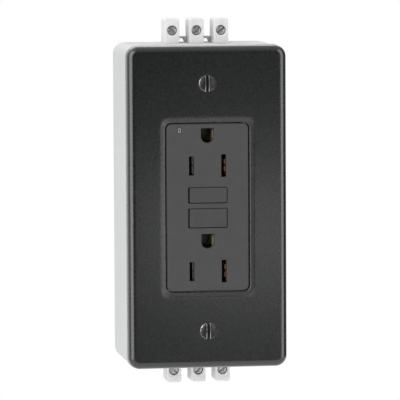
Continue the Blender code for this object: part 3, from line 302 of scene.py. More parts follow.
box_low, box_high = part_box("back_box")
mouth_y = box_low.y
HALF_X = box_high.x
HALF_Z = box_high.z
OUTLINE_CORNER = 4.4 * MM
BOX_WALL = 2.3 * MM
floor_y = box_high.y - 2.5 * MM
RIM_BAND = 3.6 * MM
RIM_PROUD = 0.22 * MM
REAR_EDGE = 1.1 * MM
POST_RADIUS = 4.0 * MM
PILOT_RADIUS = 1.8 * MM
CRADLE_WALL = 1.8 * MM
CRADLE_REACH = 7.5 * MM
KEYHOLE_Z = 26.0 * MM
KEYHOLE_HEAD = 4.2 * MM
KEYHOLE_NECK = 2.1 * MM
EJECTOR_RADIUS = 2.6 * MM
POLE_HALF = 2.9 * MM
WEB_PASSAGE = (-9.9 * MM, -5.0 * MM)
FIT = 0.3 * MM
ENDS = (("top", 1), ("bottom", -1))
POLES = ("left", "centre", "right")
PALE_PLASTIC = pale_grey_plastic()


def quarter_round(radius, y, toward, steps=4, depth=None):
    """(y, growth) pairs of a rounded edge at the face y, back to front. The side lies toward +Y or -Y."""
    deep = toward * (radius if depth is None else depth)
    pairs = []
    for step in range(steps + 1):
        angle = math.radians(90 * step / steps)
        pairs.append((y + deep * (1 - math.cos(angle)), -radius * (1 - math.sin(angle))))
    return pairs[::-1] if toward > 0 else pairs


def box_shell():
    outer = quarter_round(REAR_EDGE, box_high.y, -1, 5)
    outer += [(mouth_y + RIM_BAND + 0.25 * MM, 0.0), (mouth_y + RIM_BAND, RIM_PROUD)]
    outer += offsets(mouth_y, (0.35, 0), (0.1, -0.1), (0, -0.35), out=RIM_PROUD)
    inner = offsets(mouth_y, (0, 0.2), (0.2, 0), out=-BOX_WALL)
    inner += offsets(floor_y, (-1, 0), (-0.3, -0.3), (0, -1), out=-BOX_WALL)
    return slab("back_box_moulding", HALF_X, HALF_Z, OUTLINE_CORNER, outer + inner, per_corner=9)


def keyhole_cutters(name, head_z):
    """A round hole for a wall screw's head with a narrow slot above it, both with a softened mouth."""
    depth = offsets(box_high.y, (1, 0.4), (0, 0.4), (-0.4, 0), (-6, 0))
    head = drum(f"keyhole_head_{name}", KEYHOLE_HEAD, depth, 0.0, head_z)
    slot = slab(f"keyhole_slot_{name}", KEYHOLE_NECK, 4.9 * MM, 2.0 * MM, depth, (0.0, head_z + 3.1 * MM))
    return [head, slot]


def box_moulding():
    box = box_shell()
    post_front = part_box("contact_housing")[0].y
    mark = offsets(box_high.y, (1, 0), (-0.12, 0))
    additions = []
    cutters = []
    for end, sign in ENDS:
        post_z = centre(f"device_screw_{end}")[2]
        post = offsets(floor_y, (1, 1.1), (0, 1.1), (-1.1, 0.25)) + offsets(post_front, (0.3, 0), (0, -0.3))
        additions.append(drum(f"screw_post_{end}", POST_RADIUS, post, 0.0, post_z))
        pilot = offsets(box_high.y, (-18, 0)) + offsets(post_front, (0.4, 0), (-1, 0.5))
        cutters.append(drum(f"screw_pilot_{end}", PILOT_RADIUS, pilot, 0.0, post_z))
        strip_low, strip_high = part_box(f"terminal_strip_{end}")
        wall_in = sign * (HALF_Z - BOX_WALL)
        for side in (-1, 1):
            near = side * (strip_high.x + FIT)
            x = sorted((near, near + side * CRADLE_WALL))
            z = sorted((wall_in - sign * CRADLE_REACH, wall_in + sign * 1 * MM))
            additions.append(brick(f"cradle_{end}_{side}", x, (-15 * MM, floor_y + 1 * MM), z))
        through = sorted((wall_in - sign * 1 * MM, sign * (HALF_Z + 2 * MM)))
        y = (strip_low.y - FIT, strip_high.y + FIT)
        half = POLE_HALF + FIT
        for pole in POLES:
            x = centre(f"clamp_screw_{end}_{pole}")[0]
            cutters.append(brick(f"pole_passage_{end}_{pole}", (x - half, x + half), y, through))
        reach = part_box(f"clamp_screw_{end}_right")[0].x
        cutters.append(brick(f"web_passage_{end}", (-reach, reach), WEB_PASSAGE, through))
        cutters += keyhole_cutters(end, sign * KEYHOLE_Z)
        for side in (-1, 1):
            where = (side * 20.5 * MM, sign * 50.0 * MM)
            cutters.append(drum(f"ejector_mark_{end}_{side}", EJECTOR_RADIUS, mark, *where))
    panel = offsets(box_high.y, (1, 0.35), (0, 0.35), (-0.35, 0))
    cutters.append(slab("wall_recess", 13.0 * MM, 11.0 * MM, 2.5 * MM, panel))
    combine(box, "UNION", additions)
    combine(box, "DIFFERENCE", cutters)
    return dress(box, PALE_PLASTIC)


back_box = box_moulding()
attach(back_box, "root")
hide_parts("back_box")


# ---------------------------------------------------------------- terminal strips
# A strip of three poles in soft, milky polyamide passes through each end wall. Every pole is a block with
# a round-backed barrel for its wires and two screw wells, and thin webs with half-moon holes join them.


def milky_polyamide():
    """Translucent white nylon, a little glossy, with cloudy patches and faint sink marks."""
    fixed = {"IOR": 1.53, "Subsurface Weight": 0.35, "Subsurface Scale": 2.0 * MM}
    fixed["Subsurface Radius"] = (1.0, 0.95, 0.9)
    finish = Finish("milky_polyamide", fixed)
    cloud = finish.noise(3.2 * MM, 3.0, 0.6)
    fine = finish.noise(0.5 * MM, 2.0, 0.5)
    colour = finish.ramp(cloud * 0.8 + fine * 0.2, [(0.25, (0.70, 0.70, 0.70)), (0.7, (0.8, 0.8, 0.795))])
    gloss = finish.between(cloud, 0.3, 0.7, 0.3, 0.42)
    normal = finish.bumps((cloud, 0.06 * MM), (fine, 0.01 * MM))
    return finish.feed(Base_Color=colour, Roughness=gloss, Normal=normal)


def geometry_tree(name, sizes):
    """A new geometry tree with named inputs. Returns its graph and a dict of links to the inputs."""
    tree = bpy.data.node_groups.new(name, "GeometryNodeTree")
    kinds = {"Geometry": "NodeSocketGeometry", **sizes, "Finish": "NodeSocketMaterial"}
    for label, kind in kinds.items():
        tree.interface.new_socket(label, in_out="INPUT", socket_type=kind)
    tree.interface.new_socket("Result", in_out="OUTPUT", socket_type="NodeSocketGeometry")
    graph = Graph(tree)
    entry = tree.nodes.new("NodeGroupInput")
    return graph, {label: Link(graph, entry.outputs[label]) for label in kinds}


def close_tree(graph, geometry, finish):
    """Ends a geometry tree with real meshes that carry one finish."""
    real = graph.add("GeometryNodeRealizeInstances", {}, {"Geometry": geometry})
    done = graph.add("GeometryNodeSetMaterial", {}, {"Geometry": real, "Material": finish})
    way_out = graph.tree.nodes.new("NodeGroupOutput")
    graph.tree.links.new(done.socket, way_out.inputs["Result"])
    return graph.tree


def grown(made, tree, **values):
    """Runs a geometry tree on a body and leaves a plain mesh. Names of inputs use _ for a space."""
    step = made.modifiers.new(tree.name, "NODES")
    step.node_group = tree
    for item in tree.interface.items_tree:
        key = item.name.replace(" ", "_")
        if item.in_out == "INPUT" and key in values:
            step[item.identifier] = values[key]
    settled(made)
    shape = bmesh.new()
    shape.from_mesh(made.data)
    bmesh.ops.recalc_face_normals(shape, faces=shape.faces)
    shape.to_mesh(made.data)
    shape.free()
    return made


def row_tree():
    """Copies of a body at an even pitch along X, centred on the middle."""
    graph, given = geometry_tree("row", {"Count": "NodeSocketInt", "Pitch": "NodeSocketFloat"})
    first = (given["Count"] - 1) * given["Pitch"] * -0.5
    start = graph.add("ShaderNodeCombineXYZ", {}, {"X": first})
    stride = graph.add("ShaderNodeCombineXYZ", {}, {"X": given["Pitch"]})
    settings = {"mode": "OFFSET", "count_mode": "TOTAL"}
    sizes = {"Count": given["Count"], "Start Location": start, "Offset": stride}
    line = graph.add("GeometryNodeMeshLine", settings, sizes)
    copies = {"Points": line, "Instance": given["Geometry"]}
    return close_tree(graph, graph.add("GeometryNodeInstanceOnPoints", {}, copies), given["Finish"])


ROW = row_tree()
MILKY = milky_polyamide()
WELL_RADIUS = 1.95 * MM
WIRE_HOLE = 1.7 * MM
WEB_HOLE = 1.35 * MM
SLEEVE_SEAT = 2.3 * MM
SLEEVE_RADIUS = 2.0 * MM
TO_FRONT = Matrix.Rotation(math.radians(90), 4, "X")
TO_BACK = Matrix.Rotation(math.radians(-90), 4, "X")


def pole_body(end, low, high):
    """One pole at x = 0: a softly rounded block with a round barrel along its back."""
    middle_z = (low.z + high.z) / 2
    half_z = (high.z - low.z) / 2
    barrel_y = high.y - POLE_HALF
    levels = [(barrel_y, 0.0)] + offsets(low.y, (0.5, 0), (0.15, -0.15), (0, -0.5))
    block = slab(f"pole_{end}", POLE_HALF, half_z, 1.0 * MM, levels, (0.0, middle_z), 5)
    barrel = offsets(-half_z, (0.3, -0.5), (0.8, 0)) + offsets(half_z, (-0.8, 0), (-0.3, -0.5))
    tube = drum(f"barrel_{end}", POLE_HALF - 0.02 * MM, barrel, 0.0, 0.0, 8)
    tube.data.transform(Matrix.Translation((0, barrel_y, middle_z)) @ TO_BACK)
    return combine(block, "UNION", [tube])


def end_tube(name, radius, levels, place):
    """A round body along Z, centred on place. levels are (z, growth) pairs."""
    made = drum(name, radius, levels, 0.0, 0.0, 7)
    made.data.transform(Matrix.Translation(place) @ TO_FRONT)
    return made


def terminal_strip(end, sign):
    low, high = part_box(f"terminal_strip_{end}")
    middle_z = (low.z + high.z) / 2
    half_z = (high.z - low.z) / 2
    pitch, outer_z = centre(f"clamp_screw_{end}_right")[::2]
    wells = (outer_z, 2 * middle_z - outer_z)
    sleeve_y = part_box(f"terminal_sleeve_{end}_right")[1].y - SLEEVE_RADIUS
    strip = grown(pole_body(end, low, high), ROW, Count=3, Pitch=pitch, Finish=MILKY)
    strip.name = f"terminal_strip_{end}_moulding"
    web = offsets(0.0, (-5.3, 0), (-9.6, 0))
    combine(strip, "UNION", [slab(f"web_{end}", pitch, 2.1 * MM, 0.4 * MM, web, (0.0, middle_z))])
    half_moon = [(low.y, 0.3 * MM)] + offsets(0.0, (-9.9, 0.3), (-9.3, 0), (-5.5, 0)) + [(high.y, 0.3 * MM)]
    entry = [(0.0, 0.0)] + offsets(half_z, (-0.7, 0), (-0.3, 0.35), (2, 0.35))
    seat = offsets(half_z, (-0.8, 0)) + offsets(-half_z, (-2, 0))
    well = offsets(low.y, (-1, 0.3), (0, 0.3), (0.3, 0)) + [(sleeve_y, 0.0)]
    cutters = []
    for side in (-1, 1):
        cutters.append(drum(f"web_hole_{end}_{side}", WEB_HOLE, half_moon, side * pitch / 2, middle_z))
    for index in (-1, 0, 1):
        x = index * pitch
        for kind, radius, levels in (("wire_entry", WIRE_HOLE, entry), ("sleeve_seat", SLEEVE_SEAT, seat)):
            turned_out = [(sign * z, growth) for z, growth in levels]
            cutters.append(end_tube(f"{kind}_{end}_{index}", radius, turned_out, (x, sleeve_y, middle_z)))
        for z in wells:
            cutters.append(drum(f"well_{end}_{index}_{z:.3f}", WELL_RADIUS, well, x, z, 8))
    combine(strip, "DIFFERENCE", cutters)
    return dress(strip, MILKY)


for end, sign in ENDS:
    strip = terminal_strip(end, sign)
    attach(strip, "root")
    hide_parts(f"terminal_strip_{end}")


# ---------------------------------------------------------------- terminal sleeves and clamp screws
# Each pole holds a turned brass sleeve that two screws clamp wires in. The inner screw is run home on the
# house wiring and stays with its sleeve; the outer one, in the well outside the box, can be turned.


def wound(graph, turns, height, radius, thickness, steps, sides):
    """A round section of a given thickness wound round Z, upwards from the floor."""
    sizes = {"Resolution": steps, "Rotations": turns, "Height": height}
    sizes.update({"Start Radius": radius, "End Radius": radius})
    helix = graph.add("GeometryNodeCurveSpiral", {}, sizes)
    section = graph.add("GeometryNodeCurvePrimitiveCircle", {}, {"Resolution": sides, "Radius": thickness})
    swept = {"Curve": helix, "Profile Curve": section, "Fill Caps": True}
    return graph.add("GeometryNodeCurveToMesh", {}, swept)


def thread_tree():
    """Adds a helical thread under a screw's head. The screw's axis is Z and its head is on top."""
    numbers = ("Core Radius", "Ridge", "Pitch", "Turns", "Top")
    graph, given = geometry_tree("thread", dict.fromkeys(numbers, "NodeSocketFloat"))
    length = given["Pitch"] * given["Turns"]
    ridge = wound(graph, given["Turns"], length, given["Core Radius"], given["Ridge"], 20, 4)
    drop = graph.add("ShaderNodeCombineXYZ", {}, {"Z": given["Top"] - length})
    ridge = graph.add("GeometryNodeTransform", {}, {"Geometry": ridge, "Translation": drop})
    both = graph.add("GeometryNodeJoinGeometry", {}, {"Geometry": ridge})
    graph.tree.links.new(given["Geometry"].socket, both.socket.node.inputs["Geometry"])
    return close_tree(graph, both, given["Finish"])


def turned(name, profile, segments=40):
    """Spins (radius, height) pairs round Z into a closed body. The profile runs from axis to axis."""
    shape = bmesh.new()
    rows = []
    for radius, height in profile:
        if radius == 0:
            rows.append([shape.verts.new((0, 0, height))])
            continue
        angles = [2 * math.pi * i / segments for i in range(segments)]
        rows.append([shape.verts.new((radius * math.cos(a), radius * math.sin(a), height)) for a in angles])
    for first, second in zip(rows, rows[1:]):
        for i in range(segments):
            j = (i + 1) % segments
            corners = [first[i % len(first)], first[j % len(first)], second[j % len(second)]]
            corners.append(second[i % len(second)])
            corners = list(dict.fromkeys(corners))
            if len(corners) > 2:
                shape.faces.new(corners)
    bmesh.ops.recalc_face_normals(shape, faces=shape.faces)
    return body_from(name, shape)


THREAD = thread_tree()


def soften(made, width, angle):
    """Rounds the edges of a body that are sharper than angle."""
    step = made.modifiers.new("round", "BEVEL")
    step.width = width
    step.segments = 2
    step.limit_method = "ANGLE"
    step.angle_limit = math.radians(angle)
    return settled(made)


def slotted_screw(name, profile, slot, thread, finish, segments):
    """A screw with its head up Z. slot is (half width, depth level); thread is the tree's sizes."""
    screw = turned(name, profile, segments)
    half, level = slot
    wide = max(radius for radius, height in profile) + 1 * MM
    top = max(height for radius, height in profile) + 1 * MM
    combine(screw, "DIFFERENCE", [brick(name + "_slot", (-half, half), (-wide, wide), (level, top))])
    soften(screw, 0.07 * MM, 35)
    return grown(screw, THREAD, Finish=finish, **thread)


def plated_steel(name, dark, light, rough, patch=0.9 * MM):
    """Plated steel with fine turning marks, cloudy passivation and a few dull spots."""
    finish = Finish(name, {"Metallic": 1.0})
    cloud = finish.noise(patch, 4.0, 0.65)
    scratch = finish.noise(0.22 * MM, 2.0, 0.6, (1.0, 1.0, 0.15))
    spots = finish.between(finish.noise(0.35 * MM, 2.0, 0.5), 0.62, 0.72)
    tone = cloud * 0.75 + scratch * 0.3 - spots * 0.35
    colour = finish.ramp(tone, [(0.2, dark), (0.7, light)])
    gloss = finish.between(cloud + spots * 0.5, 0.3, 1.0, rough - 0.08, rough + 0.16)
    normal = finish.bumps((scratch, 0.012 * MM), (cloud, 0.02 * MM))
    return finish.feed(Base_Color=colour, Roughness=gloss, Normal=normal)


ZINC = plated_steel("zinc_plated_steel", (0.34, 0.34, 0.33), (0.66, 0.66, 0.64), 0.34)
BRASS = plated_steel("turned_brass", (0.45, 0.27, 0.09), (0.80, 0.58, 0.24), 0.28)
SLOT_TURNS = {"left": -45, "centre": 42, "right": 52}
CLAMP_RADIUS = 1.7 * MM
CLAMP_SLOT = (0.36 * MM, -0.95 * MM)
CLAMP_THREAD = {"Core_Radius": 1.12 * MM, "Ridge": 0.2 * MM, "Pitch": 0.5 * MM, "Top": -4.6 * MM}
TAPPED_RADIUS = 1.45 * MM
SLEEVE_BORE = -0.6 * MM
SLEEVE_CHAMFER = 0.25 * MM
TIP_REACH = 1.15 * MM


def turned_to(screw, x, y, z, degrees):
    """Sets a screw with its head at y, facing the front, and its slot turned by degrees."""
    spun = Matrix.Rotation(math.radians(degrees), 4, "Y")
    screw.data.transform(Matrix.Translation((x, y, z)) @ spun @ TO_FRONT)


def clamp_screw(end, pole):
    name = f"clamp_screw_{end}_{pole}"
    x, z = centre(name)[::2]
    profile = [(0, 0.0)]
    profile += offsets(CLAMP_RADIUS, (-0.3, 0), (-0.1, -0.08), (0, -0.3), (0, -4.1), (-0.15, -4.25))
    profile += offsets(0, (1.1, -4.5), (1.1, -8.3), (0.8, -8.6), (0, -8.6))
    screw = slotted_screw(name + "_turned", profile, CLAMP_SLOT, dict(CLAMP_THREAD, Turns=7.0), ZINC, 36)
    turned_to(screw, x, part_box(name)[0].y, z, SLOT_TURNS[pole])
    return dress(screw, ZINC)


def sleeve_tube(name):
    """The sleeve by itself: a tube along Z with all four of its edges chamfered."""
    low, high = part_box(name)
    half = (high.z - low.z) / 2
    near = half - SLEEVE_CHAMFER
    mouth = SLEEVE_BORE + SLEEVE_CHAMFER
    levels = [(-half, -SLEEVE_CHAMFER), (-near, 0.0), (near, 0.0), (half, -SLEEVE_CHAMFER)]
    levels += [(half, mouth), (near, SLEEVE_BORE), (-near, SLEEVE_BORE), (-half, mouth)]
    rings = [ring(*(SLEEVE_RADIUS + growth,) * 3, level, 6) for level, growth in levels]
    return skin(name + "_turned", rings, endless=True)


def terminal_sleeve(end, pole):
    """A sleeve with its tapped hole for the outer screw, and the inner screw driven home in it."""
    name = f"terminal_sleeve_{end}_{pole}"
    low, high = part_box(name)
    x, middle_z = centre(name)[::2]
    axis_y = high.y - SLEEVE_RADIUS
    sleeve = sleeve_tube(name)
    sleeve.data.transform(Matrix.Translation((x, axis_y, middle_z)) @ TO_FRONT)
    outer_z = centre(f"clamp_screw_{end}_{pole}")[2]
    inner_z = 2 * centre(f"terminal_strip_{end}")[2] - outer_z
    tapped = offsets(axis_y, (-5, 0), (0, 0))
    combine(sleeve, "DIFFERENCE", [drum(name + "_thread", TAPPED_RADIUS, tapped, x, outer_z)])
    tip = low.y - (axis_y - TIP_REACH)
    profile = offsets(0, (0, 0), (1.25, 0), (1.5, -0.25), (1.5, -4.2), (1.1, -4.6))
    profile += offsets(0, (1.1, 0.3), (0.8, 0), (0, 0), out=tip)
    screw = slotted_screw(name + "_screw", profile, CLAMP_SLOT, dict(CLAMP_THREAD, Turns=5.0), BRASS, 28)
    turned_to(screw, x, low.y, inner_z, 20 + SLOT_TURNS[pole])
    joined = bmesh.new()
    joined.from_mesh(sleeve.data)
    joined.from_mesh(screw.data)
    joined.to_mesh(sleeve.data)
    joined.free()
    bpy.data.objects.remove(screw, do_unlink=True)
    return dress(sleeve, BRASS)


for end, sign in ENDS:
    for pole in POLES:
        screw = clamp_screw(end, pole)
        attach(screw, f"clamp_screw_{end}_{pole}")
        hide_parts(f"clamp_screw_{end}_{pole}")
        sleeve = terminal_sleeve(end, pole)
        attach(sleeve, "root")
        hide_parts(f"terminal_sleeve_{end}_{pole}")


# ---------------------------------------------------------------- device face
# The receptacle's front is one moulding in matt grey nylon: two pairs of blade slots, two ground holes
# with a flat top and a round bottom, windows for the two buttons, and a small hole for the status lens.


def grey_nylon(name, dark, light):
    """Glass-filled nylon: matt, with a fine spark-eroded grain and faint mottling."""
    finish = Finish(name, {"IOR": 1.45})
    grain = finish.noise(0.16 * MM, 2.0, 0.6)
    cloud = finish.noise(5.0 * MM, 3.0, 0.6)
    colour = finish.ramp(cloud * 0.6 + grain * 0.4, [(0.3, dark), (0.7, light)])
    gloss = finish.between(grain + cloud * 0.4, 0.4, 1.0, 0.56, 0.7)
    normal = finish.bumps((grain, 0.012 * MM))
    return finish.feed(Base_Color=colour, Roughness=gloss, Normal=normal)


FACE_NYLON = grey_nylon("grey_nylon", (0.047, 0.047, 0.047), (0.057, 0.057, 0.057))
face_low, face_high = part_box("device_face")
face_y = face_low.y
FACE_CORNER = 2.2 * MM
FACE_WALL = 1.6 * MM
FACE_STEP = 0.2 * MM
FRONT_WALL = 2.6 * MM
CUT_DEPTH = FRONT_WALL + 2 * MM
SCREW_POST = 2.2 * MM
SCREW_BORE = 1.45 * MM
SLOT_HALVES = {"hot": (0.95 * MM, 3.7 * MM), "neutral": (0.95 * MM, 4.4 * MM)}
BLADE_X = {"hot": -6.35 * MM, "neutral": 6.35 * MM}
GROUND_HALF = 2.5 * MM
GROUND_HEIGHT = 5.6 * MM
GROUND_CORNER = 0.35 * MM
BLADE_TO_GROUND = 11.8 * MM
CAP_FLANGE = 0.8 * MM
CAP_RISE = 0.5 * MM
ground_z = {outlet: centre(f"ground_contact_{outlet}")[2] for outlet in ("upper", "lower")}


def mouth(flare):
    """(y, growth) pairs of a cutter through the front wall, flared where it breaks the surface."""
    levels = [(face_y - 1 * MM, flare), (face_y, flare), (face_y + 0.35 * flare, 0.35 * flare)]
    return levels + [(face_y + flare, 0.0), (face_y + CUT_DEPTH, 0.0)]


def ground_cutter(name, z, levels):
    """A cutter with a flat top and a round bottom."""
    rings = []
    for y, growth in levels:
        radius = GROUND_HALF + growth
        top = z + GROUND_HEIGHT / 2 + growth
        bowl_z = z - GROUND_HEIGHT / 2 + GROUND_HALF
        points = []
        for step in range(21):
            angle = math.radians(180 + 9 * step)
            points.append(Vector((radius * math.cos(angle), y, bowl_z + radius * math.sin(angle))))
        for side, start in ((1, 0), (-1, 90)):
            for step in range(5):
                angle = math.radians(start + 22.5 * step)
                x = side * (radius - GROUND_CORNER) + GROUND_CORNER * math.cos(angle)
                points.append(Vector((x, y, top - GROUND_CORNER + GROUND_CORNER * math.sin(angle))))
        rings.append(points)
    return skin(name, rings)


def face_shell():
    """The face with its stepped, rounded front edge, hollowed from behind, with a post for each screw."""
    middle_z = centre("device_face")[2]
    half_z = (face_high.z - face_low.z) / 2
    levels = [(face_high.y, 0.0), (face_y + 0.85 * MM, 0.0), (face_y + 0.75 * MM, -FACE_STEP)]
    levels += [(y, growth - FACE_STEP) for y, growth in quarter_round(0.45 * MM, face_y, 1)]
    face = slab("device_face_moulding", face_high.x, half_z, FACE_CORNER, levels, (0.0, middle_z), 8)
    hollow_y = face_y + FRONT_WALL
    hollow = [(hollow_y, 0.0), (face_high.y + 3 * MM, 0.0)]
    hollow_half = (face_high.x - FACE_WALL, half_z - FACE_WALL)
    combine(face, "DIFFERENCE", [slab("face_hollow", *hollow_half, 0.8 * MM, hollow, (0.0, middle_z))])
    post = [(hollow_y - 1 * MM, 0.0), (face_high.y, 0.0)]
    bore = offsets(hollow_y, (-1.2, 0)) + offsets(face_high.y, (-0.4, 0), (1, 0.4))
    places = [centre(f"assembly_screw_{index}")[::2] for index in range(1, 5)]
    combine(face, "UNION", [drum("face_post", SCREW_POST, post, *place) for place in places])
    return face, [drum("face_bore", SCREW_BORE, bore, *place) for place in places]


def face_moulding():
    face, cutters = face_shell()
    for outlet, z in ground_z.items():
        for side, (half_x, half_slot) in SLOT_HALVES.items():
            where = (BLADE_X[side], z - BLADE_TO_GROUND)
            blade = (half_x, half_slot, 0.2 * MM, mouth(0.22 * MM), where, 3)
            cutters.append(slab(f"{side}_slot_{outlet}", *blade))
        cutters.append(ground_cutter(f"ground_hole_{outlet}", z, mouth(0.4 * MM)))
    for name in ("test_button", "reset_button"):
        low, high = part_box(name)
        half_x = high.x - CAP_FLANGE + 0.2 * MM
        half_z = (high.z - low.z) / 2 - CAP_RISE + 0.22 * MM
        where = (0.0, centre(name)[2])
        cutters.append(slab(f"{name}_window", half_x, half_z, 0.45 * MM, mouth(0.14 * MM), where, 4))
    low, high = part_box("status_lens")
    half_x, half_z = (high.x - low.x) / 2 + 0.12 * MM, (high.z - low.z) / 2 + 0.12 * MM
    where = centre("status_lens")[::2]
    cutters.append(slab("lens_hole", half_x, half_z, 0.6 * MM, mouth(0.12 * MM), where, 5))
    combine(face, "DIFFERENCE", cutters)
    return dress(face, FACE_NYLON)


device_face = face_moulding()
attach(device_face, "root")
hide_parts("device_face")


# ---------------------------------------------------------------- test and reset buttons
# Two rectangular caps in the same nylon, a little proud of the face. A flange behind the face keeps each
# from falling out, and the front of a cap is dished slightly for the finger.

CAP_NYLON = grey_nylon("button_nylon", (0.043, 0.043, 0.044), (0.053, 0.053, 0.054))


def button_cap(name, ease_left):
    """ease_left is how much the cap is set in from the left side of its window."""
    low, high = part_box(name)
    half_x = high.x - CAP_FLANGE
    half_z = (high.z - low.z) / 2 - CAP_RISE
    where = (ease_left / 2, centre(name)[2] + 0.06 * MM)
    flange_front = high.y - 1.0 * MM
    levels = [(flange_front + 0.5 * MM, 0.0)] + quarter_round(0.32 * MM, low.y, 1)
    levels += offsets(low.y, (0, -0.55), (0.05, -0.9)) + [(low.y + 0.12 * MM, -half_z * 0.8)]
    cap = slab(name + "_cap", half_x - ease_left / 2, half_z + 0.04 * MM, 0.5 * MM, levels, where, 5)
    rim = offsets(high.y, (0, -0.15), (-0.15, 0)) + [(flange_front, 0.0)]
    flange_half = (half_x + CAP_FLANGE, half_z + CAP_RISE)
    combine(cap, "UNION", [slab(name + "_flange", *flange_half, 0.4 * MM, rim, (0.0, where[1]), 3)])
    return dress(cap, CAP_NYLON, 40)


for name, ease in (("test_button", 0.35 * MM), ("reset_button", 0.3 * MM)):
    cap = button_cap(name, ease)
    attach(cap, name)
    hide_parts(name)


# ---------------------------------------------------------------- reset spring
# A wire coil that lifts the reset cap back. It stands on the housing and is attached to the root. How far it
# would shorten as the cap goes down is worked out, but it is not squashed.


def coil_tree():
    """A round wire wound evenly round Z, upwards from the floor."""
    numbers = ("Radius", "Wire", "Length", "Turns")
    graph, given = geometry_tree("coil", dict.fromkeys(numbers, "NodeSocketFloat"))
    wire = wound(graph, given["Turns"], given["Length"], given["Radius"], given["Wire"], 26, 10)
    return close_tree(graph, wire, given["Finish"])


spring_low, spring_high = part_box("reset_spring")
WIRE = 0.3 * MM
COILS = 5.0


def reset_coil():
    spring = body_from("reset_coil", bmesh.new())
    radius = (spring_high.x - spring_low.x) / 2 - WIRE
    length = spring_high.y - spring_low.y - 2 * WIRE
    grown(spring, coil_tree(), Finish=ZINC, Radius=radius, Wire=WIRE, Length=length, Turns=COILS)
    where = Matrix.Translation((0, spring_low.y + WIRE, centre("reset_spring")[2]))
    spring.data.transform(where @ TO_BACK)
    return spring


spring = reset_coil()
joints = {joint["name"]: joint for joint in frame["record"]["behaviour"]["joints"]}
travel = max(joints["reset_button_press"]["range_m"])
shortened = 1 - travel / (spring_high.y - spring_low.y)
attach(spring, "root")
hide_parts("reset_spring")
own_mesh(spring)


# ---------------------------------------------------------------- status lens
# A tiny light guide in clear acrylic beside the upper ground hole. Its rim scatters light, so it reads as
# a pale ring round a dark middle, and a lamp on the circuit board shines through it.


def light_guide(centre_x, centre_z):
    """Clear acrylic, painted as it reads from outside: a dark middle inside a pale, uneven ring."""
    finish = Finish("light_guide", {"IOR": 1.49, "Roughness": 0.12, "Coat Weight": 0.4})
    middle = finish.add("ShaderNodeCombineXYZ", {}, {"X": -centre_x, "Z": -centre_z})
    offset = finish.add("ShaderNodeVectorMath", {"operation": "ADD"}, {0: finish.place, 1: middle})
    flat = finish.add("ShaderNodeVectorMath", {"operation": "MULTIPLY"}, {0: offset, 1: (1.25, 0.0, 0.8)})
    far = finish.add("ShaderNodeVectorMath", {"operation": "LENGTH"}, {0: flat}, 1)
    uneven = finish.noise(0.3 * MM) * 0.12 * MM
    stops = [(0.0, (0.03, 0.032, 0.03)), (0.4, (0.05, 0.052, 0.05)), (0.7, (0.26, 0.265, 0.26))]
    stops.append((1.0, (0.17, 0.175, 0.17)))
    return finish.feed(Base_Color=finish.ramp((far + uneven) / (0.9 * MM), stops))


def status_lens():
    low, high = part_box("status_lens")
    half_x, half_z = (high.x - low.x) / 2, (high.z - low.z) / 2
    where = centre("status_lens")[::2]
    levels = [(high.y, 0.0)] + quarter_round(0.2 * MM, low.y, 1) + [(low.y - 0.06 * MM, -0.42 * MM)]
    lens = slab("status_lens_guide", half_x, half_z, 0.5 * MM, levels, where, 6)
    return dress(lens, light_guide(*where))


lens = status_lens()
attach(lens, "root")
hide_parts("status_lens")


# ---------------------------------------------------------------- cover plate
# A shallow cap moulded in charcoal plastic with a fine leathery texture. Its edge is rolled back to the
# box, the opening for the device has a sloped lip, and two countersunk holes take the cover screws.


def charcoal_cover():
    """Charcoal moulding: hammered texture, small pits, pale specks, satin gloss; painted highlight on the lip
    and its edge.
    """
    finish = Finish("charcoal_cover", {"IOR": 1.6, "Coat Weight": 0.8, "Coat Roughness": 0.2})
    broad = finish.noise(9.0 * MM, 3.0, 0.6)
    hammer = finish.noise(1.7 * MM, 3.0, 0.6)
    fine = finish.noise(0.45 * MM, 2.0, 0.6)
    specks = finish.between(finish.noise(0.7 * MM, 1.0, 0.5), 0.69, 0.76)
    pits = finish.between(finish.cells(2.6 * MM), 0.10, 0.2, 1.0, 0.0)
    side, depth, height = (finish.along(axis) for axis in range(3))
    inner_x = face_high.x + OPENING_MARGIN + LIP
    inner_z = (face_high.z - face_low.z) / 2 + OPENING_MARGIN + LIP
    # Painted highlight: the lip round the opening is made lighter, standing in for light on its slope, and
    # its bumps are flattened.
    over_x = finish.between(abs(side) - inner_x, -1.3 * MM, 0.5 * MM, 1.0, 0.0)
    over_z = finish.between(abs(height - centre("device_face")[2]) - inner_z, -1.3 * MM, 0.5 * MM, 1.0, 0.0)
    lip_painted_highlight = over_x * over_z
    # Painted highlight: a lighter line along the opening's inner edge.
    edge_painted_highlight = lip_painted_highlight * finish.between(depth - plate_low.y, 0.28 * MM, 0.42 * MM)
    tone = broad * 0.35 + hammer * 0.4 + fine * 0.25 + specks * 0.35 - pits * 0.12
    stops = [(0.3, (0.0020, 0.0032, 0.0028)), (0.6, (0.0046, 0.0058, 0.0052)), (1.0, (0.030, 0.033, 0.029))]
    stops += [(1.6, (0.034, 0.034, 0.033)), (2.0, (0.036, 0.036, 0.035)), (3.0, (0.12, 0.12, 0.117))]
    colour = finish.ramp((tone + lip_painted_highlight + edge_painted_highlight) / 3.0, [(at / 3.0, shade) for at, shade in stops])
    gloss = finish.between(hammer * 0.6 + fine * 0.4, 0.3, 0.7, 0.24, 0.32)
    flat = 1.0 - lip_painted_highlight * 0.8
    normal = finish.bumps((hammer * flat, 0.024 * MM), (fine * flat, 0.007 * MM), (pits, -0.02 * MM))
    return finish.feed(Base_Color=colour, Roughness=gloss, Normal=normal)


plate_low, plate_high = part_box("cover_plate")
EDGE_ROUND = 2.75 * MM
EDGE_DEPTH = 2.6 * MM
PLATE_WALL = 2.0 * MM
LIP = 1.7 * MM
LIP_DEPTH = 0.18 * MM
LIP_EDGE = 0.32 * MM
OPENING_MARGIN = 0.4 * MM
OPENING_CORNER = 2.5 * MM
BOSS_RADIUS = 3.2 * MM
SCREW_HOLE = 2.2 * MM
CHARCOAL = charcoal_cover()


